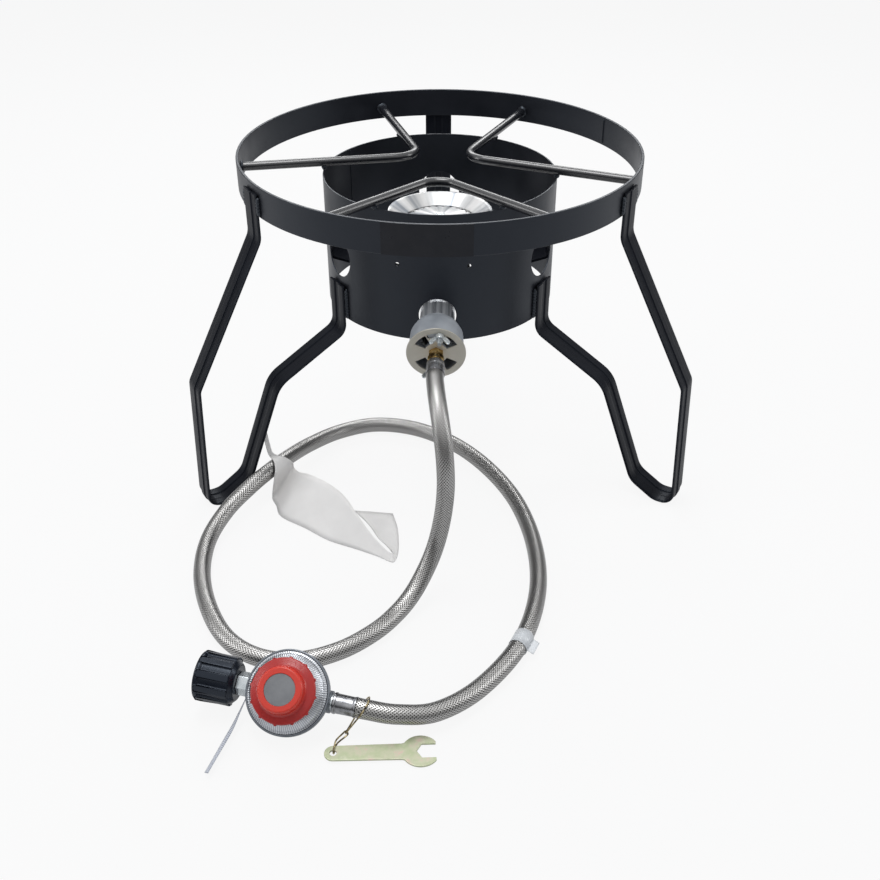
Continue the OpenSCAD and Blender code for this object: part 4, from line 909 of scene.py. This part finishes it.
def bead_frames(start, stop, radius):
    """Frames along a straight weld, swelling with each puddle and closing at both ends."""
    length = (stop - start).length
    steps = max(int(length / BEAD_STEP), 12)
    line = [start.lerp(stop, k / steps) for k in range(steps + 1)]
    frames = []
    for k, plain in enumerate(carried_frames(line, Vector((1, 0.3, 0)))):
        here = k / steps * length
        rough = noise.noise(start * 900 + Vector((0, 0, here * 400)))
        swell = 1 + RIPPLE * math.sin(math.tau * here / PUDDLE) + 0.10 * rough
        end = math.sqrt(max(min(here, length - here), 0.0002) / radius)
        size = radius * swell * min(end, 1)
        frames.append(plain @ Matrix.Diagonal((size, size, 1, 1)))
    return frames


def lump(centre, size, seed, facing):
    """A bmesh of one weld nugget: size is its half-width, half-height and half-depth."""
    bm = bmesh.new()
    bmesh.ops.create_icosphere(bm, subdivisions=3, radius=1.0)
    for v in bm.verts:
        v.co *= 0.9 + 0.16 * noise.noise(v.co * 1.7 + Vector((seed, 0, 0)))
    bmesh.ops.scale(bm, vec=(size[2], size[0], size[1]), verts=bm.verts)
    bmesh.ops.rotate(bm, matrix=Matrix.Rotation(math.atan2(facing.y, facing.x), 3, "Z"), verts=bm.verts)
    bmesh.ops.translate(bm, vec=centre, verts=bm.verts)
    return bm


def joined(parts):
    """One bmesh made of several, which are freed."""
    whole = bmesh.new()
    for part in parts:
        mesh = bpy.data.meshes.new("part")
        part.to_mesh(mesh)
        part.free()
        whole.from_mesh(mesh)
        bpy.data.meshes.remove(mesh)
    return whole


# %% Welds
DRUM_RADIUS = 0.1265
DRUM_TOP = 0.33105
WELD_RADIUS = 0.0024
welds = []
unit_disc = disc_section(1.0, 14)
for turn in LEG_ANGLES.values():
    around = Matrix.Rotation(math.radians(turn), 4, "Z")
    for side in (-1, 1):
        across = side * (BAR_WIDTH / 2 + 0.0004)
        for radius, low, high in ((RING_RADIUS + 0.0006, 0.3285, 0.3478),
                                  (DRUM_RADIUS - 0.0001, 0.1925, 0.2275)):
            ends = [around @ Vector((radius, across, z)) for z in (low, high)]
            welds.append(sweep(unit_disc, bead_frames(*ends, WELD_RADIUS)))
for seed, (corner, arm) in enumerate(rod_ends):
    for radius, z, size, shift in (
            (RING_INSIDE - 0.0006, ROD_HEIGHT, (0.0072, 0.0070, 0.0030), seed * 7.3),
            (DRUM_RADIUS - 0.0008, DRUM_TOP + 0.0016, (0.0040, 0.0036, 0.0036), seed * 5.1 + 3)):
        place = corner + arm * arm_reach(corner, arm, radius) + Vector((0, 0, z))
        welds.append(lump(place, size, shift, place))
SEAM_ANGLE = math.radians(28)
DRUM_SEAM_ANGLE = math.radians(145)
for radius, turn, low, high, size in (
        (RING_INSIDE, SEAM_ANGLE, 0.3285, 0.3558, 0.0011),
        (DRUM_RADIUS - 0.0016, DRUM_SEAM_ANGLE, 0.1925, 0.3300, 0.0008)):
    seam = [round_axis(radius, turn, z) for z in (low, high)]
    welds.append(sweep(unit_disc, bead_frames(*seam, size)))
finished(joined(welds), "weld_metal", "black_coat", "stand", ["weld_beads"],
                                "weld_coat", 60)

# %% [markdown]
# ## The spring
# Inside the regulator a steel spring presses on the diaphragm. CAD keeps it as a plain sleeve.
# Here it is wound wire: a section carried along a helix whose last turns lie flat.

# %% Spring
SPRING_RADIUS = 0.0085
SPRING_WIRE = 0.0009
SPRING_LOW = 0.0020
SPRING_HIGH = 0.0073
SPRING_TURNS = 3
coil = []
for k in range(SPRING_TURNS * 24 + 1):
    turn = math.tau * k / 24
    rise = min(max((k / 24 - 0.5) / (SPRING_TURNS - 1), 0), 1)
    high = SPRING_LOW + (SPRING_HIGH - SPRING_LOW) * rise
    coil.append(regulator_frame @ round_axis(SPRING_RADIUS, turn, high))
spring_frames = carried_frames(coil, Vector(regulator_frame.col[2][:3]))
spring_bm = sweep(disc_section(SPRING_WIRE, 10), spring_frames)
finished(spring_bm, "wound_spring", "zinc", "stand", ["adjusting_spring"])

# %% [markdown]
# ## The hose
# A gas hose is rubber inside and a braid of fine steel wire outside. It is stiff: it runs straight
# out of its fitting, droops to the ground in a long S, and lies in one loop to the regulator. Its
# length is what the picture shows, about 1.59 m. The route repeats the CAD's points in metres, and
# its first and last stretches follow the two fittings' axes.

# %% Hose route
HOSE_DIAMETER = 0.0179
HOSE_START = 0.2268
HOSE_LEAD = 0.008
PORT_DROP = 0.0113
HOSE_END = 0.0611
HOSE_ROUTE_MM = [
    (-3, -253.5, 198.6), (0, -272, 186.4), (3, -286, 169.3), (5, -294.5, 148.5), (5.5, -297.5, 124),
    (3.5, -296, 95), (-1, -296.5, 67), (-7.5, -303, 46), (-17, -314.5, 28.5), (-28, -329.5, 16.2),
    (-42, -348.5, 10), (-62, -373.5, 9.2), (-93, -398.5, 9.2), (-131, -412.5, 9.2), (-169, -408, 9.2),
    (-202, -384, 9.2), (-227, -342, 9.2), (-243.5, -290, 9.2), (-246, -238, 11.5),
    (-232.5, -195.5, 19), (-211.5, -165, 27.5), (-194, -140, 31), (-177, -107, 27), (-155, -64, 17.5),
    (-123, -26, 10.5), (-80, -8, 9.2), (-31, -17, 9.2), (14, -48, 9.2), (53, -97, 9.2),
    (84, -163, 9.2), (99.5, -240, 9.2), (98, -316, 9.4), (77, -388, 9.6), (38, -445, 10),
    (-2, -478.5, 14.3), (-37, -487.5, 20.3)]
hose_points = [tube_frame @ Vector((0, 0, HOSE_START)),
               tube_frame @ Vector((0, 0, HOSE_START + HOSE_LEAD))]
hose_points += millimetres(*HOSE_ROUTE_MM)
hose_points += [regulator_frame @ Vector((HOSE_END + HOSE_LEAD, 0, -PORT_DROP)),
                regulator_frame @ Vector((HOSE_END, 0, -PORT_DROP))]
HOSE_STEPS = 8
hose_line = smooth_route(hose_points, HOSE_STEPS)

# %% Hose body
HOSE_SIDES = 40
HOSE_INSET = 0.0002
hose_frames = carried_frames(hose_line, Vector((0.31, 0.2, 0.93)))
hose_bm = sweep(disc_section(HOSE_DIAMETER / 2 - HOSE_INSET, HOSE_SIDES), hose_frames)
hose = finished(hose_bm, "hose_braid", "steel_braid", "stand", ["gas_hose"])

# %% [markdown]
# ## The clear label on the hose
# A strip of clear film is wrapped round the hose, and its two ends stick together as a small flag.
# The film is a short open sleeve on the hose's own line, and the flag is a patch beside it.

# %% Clear label
WRAP_POINT = 34
WRAP_HALF = 0.0115
FILM_GAP = 0.0004
FILM_THICKNESS = 0.0002
wrap_middle = WRAP_POINT * HOSE_STEPS
wrap_frames = [around for around, place in zip(hose_frames, hose_line)
               if (place - hose_line[wrap_middle]).length < WRAP_HALF]
film_bm = sweep(disc_section(HOSE_DIAMETER / 2 + FILM_GAP, 32), wrap_frames, capped=False)
film_piece = finished(film_bm, "hose_film", "clear_film", "stand", ["hose_wrap"])
film_wall = film_piece.modifiers.new("film", "SOLIDIFY")
film_wall.thickness = FILM_THICKNESS
film_wall.offset = 0
print("film rings:", len(wrap_frames))


# %% [markdown]
# ## The tag and the strap
# The tag is a long soft strip of white vinyl. One end hugs the hose, the strip lies down inside
# the loop, stands on its edge there and folds back on itself. It is one grid, laid over rows of
# two points from the CAD, smoothed between the rows and given a little thickness. The strap is
# made the same way.


# %% Ribbon helper
STRIP_FLOOR = 0.0008


def ribbon(rows, steps, across, thickness, name, slot, node_name, ripple=0.0):
    """A smooth thin strip through rows of two points each."""
    left = smooth_route([r[0] for r in rows], steps)
    right = smooth_route([r[1] for r in rows], steps)
    last = len(left) - 1
    bm = bmesh.new()
    bmesh.ops.create_grid(bm, x_segments=across, y_segments=last, size=1.0, calc_uvs=False)
    uv = bm.loops.layers.uv.new("UVMap")
    for face in bm.faces:
        for loop in face.loops:
            loop[uv].uv = ((loop.vert.co.x + 1) / 2, (loop.vert.co.y + 1) / 2)
    for v in bm.verts:
        u, i = (v.co.x + 1) / 2, round((v.co.y + 1) / 2 * last)
        place = left[i].lerp(right[i], u)
        place.z += ripple * noise.noise(place * 45) * math.sin(math.pi * u)
        place.z = max(place.z, STRIP_FLOOR)
        v.co = place
    area = sum(f.calc_area() for f in bm.faces)
    length = sum(((a + b) / 2 - (c + d) / 2).length
                 for a, b, c, d in zip(left, right, left[1:], right[1:]))
    piece = finished(bm, name, slot, "stand", [node_name])
    wall = piece.modifiers.new("thickness", "SOLIDIFY")
    wall.thickness = thickness
    wall.offset = 1
    print(name, "area:", round(area * 1e4, 1), "cm2", "length:", round(length, 4), "m")
    return piece, area, length


# %% Tag
TAG_ROWS_MM = [
    ((-198, -123, 70), (-194, -121, 71.5)), ((-196.5, -124, 56), (-192, -121.5, 57)),
    ((-194, -125.5, 45), (-190, -121, 45)), ((-189.5, -130, 41.5), (-184.5, -120.5, 40.5)),
    ((-186, -138, 41), (-177.5, -121, 38.5)), ((-184.5, -145, 36.5), (-171.5, -119, 33)),
    ((-185.5, -149, 30), (-168.5, -116, 26)), ((-190, -151, 2), (-168, -117, 21)),
    ((-184, -164, 1), (-160, -133, 26)), ((-176, -184, 1), (-144.5, -150, 34)),
    ((-146.5, -205, 1), (-121, -171.5, 36.5)), ((-121, -225, 1), (-103.5, -190.5, 34)),
    ((-90, -240, 1), (-90, -209.5, 25.5)), ((-67.5, -251.5, 1), (-74, -230, 14.5)),
    ((-53.5, -260.5, 1), (-55.5, -250.5, 7)), ((-47, -259.5, 1), (-50, -248.5, 6)),
    ((-44, -240, 1), (-65.5, -228, 6)), ((-46, -205.5, 1), (-78, -205.5, 8)),
    ((-52.5, -177.5, 1), (-95.5, -177.5, 5))]
tag, tag_area, tag_length = ribbon([millimetres(*row) for row in TAG_ROWS_MM], 4, 8, 0.0005,
                                   "vinyl_tag", "white_tag", "hose_tag", ripple=0.0012)

# %% Strap
STRAP_ROWS_MM = [
    ((-171.5, -464.5, 17.2), (-170.3, -469.6, 22.2)), ((-178.4, -470.8, 5.1), (-175.3, -480, 14)),
    ((-184.5, -487.2, 0.8), (-180.2, -495, 8.2)), ((-192.7, -515.9, 0.8), (-188.4, -522.5, 7.6)),
    ((-197.8, -533.6, 0.8), (-193.6, -539, 6.8))]
strap_rows = [millimetres(*row) for row in STRAP_ROWS_MM]
ribbon(strap_rows, 8, 4, 0.0006, "ribbed_strap", "foil_tag", "strip_tag")[0]

# %% Flag of the clear label
FLAG_REACH = 0.0065
FLAG_DROP = 0.0025
FLAG_STEP = 0.0028
film_way = (hose_line[wrap_middle + 1] - hose_line[wrap_middle - 1]).normalized()
film_out = Vector((-film_way.y, film_way.x, 0)).normalized()
flag_rows = []
for k in range(-3, 4):
    root = (hose_line[wrap_middle] + film_way * FLAG_STEP * k
            + film_out * (HOSE_DIAMETER / 2 + FILM_THICKNESS))
    flag_rows.append((root, root + film_out * FLAG_REACH - Vector((0, 0, FLAG_DROP))))
ribbon(flag_rows, 1, 4, FILM_THICKNESS, "film_flag", "clear_film", "hose_wrap")[0]

# %% [markdown]
# ## The two wires
# One wire makes a loop round the hose, just past its ferrule. A longer one hangs from it and
# passes through the key's hole. Both are closed loops of soft wire, swept along smooth lines
# through the CAD's points.


# %% Wires
WIRE_RADIUS = 0.00075
TIE_FOOT = Vector((-0.082, -0.4933, 0.0033))
TIE_ALONG = HOSE_END - 0.0007 + 0.005
tie_hose = regulator_frame @ Vector((TIE_ALONG, 0, -PORT_DROP))
tie_down = (TIE_FOOT - tie_hose).normalized()
tie_out = tie_down.cross(Vector((1, 0, 0))).normalized()
tie_side = tie_down.cross(tie_out)
hose_way = Vector(regulator_frame.col[0][:3])
tie_radius = HOSE_DIAMETER / 2 / abs(tie_side.dot(hose_way)) + WIRE_RADIUS + 0.0005


def wire_loop(points, name, node_name):
    frames = carried_frames(smooth_loop(points, 3), Vector((0.3, 0.2, 0.9)), closed=True)
    bm = sweep(disc_section(WIRE_RADIUS, 12), frames, closed=True)
    finished(bm, name, "wire", "stand", [node_name])


flank = math.acos(tie_radius / (TIE_FOOT - tie_hose).length)
tie_points = []
for k in range(19):
    a = flank + (math.tau - 2 * flank) * k / 18
    tie_points.append(tie_hose + tie_radius * (math.cos(a) * tie_down + math.sin(a) * tie_out))
for down, out in ((-5, -2.8), (-2.4, -2.6), (-0.8, -1.8), (0, 0), (-0.8, 1.8), (-2.4, 2.6), (-5, 2.8)):
    tie_points.append(TIE_FOOT + (down * tie_down + out * tie_out) / 1000)
wire_loop(tie_points, "tie_loop", "wire_tie")

link_top = TIE_FOOT - 0.00185 * tie_down
KEY_HOLE = Vector((-0.0912, -0.5154, 0.0018))
link_run = (KEY_HOLE - link_top).normalized()
link_points = millimetres((-91, -514.4, 3.8), (-91, -514.4, 1.9), (-90.6, -512.8, 0.85),
                          (-90, -507.3, 0.85), (-88.2, -502.6, 1.6))
for side, along in ((-1.9, 3), (-1.4, 1), (0, 0), (1.4, 1), (1.9, 3)):
    link_points.append(link_top + (side * tie_side + along * link_run) / 1000)
link_points += millimetres((-89, -503.6, 6.6), (-90.2, -508.7, 6), (-90.8, -512.6, 5.6))
wire_loop(link_points, "long_link", "wire_link")
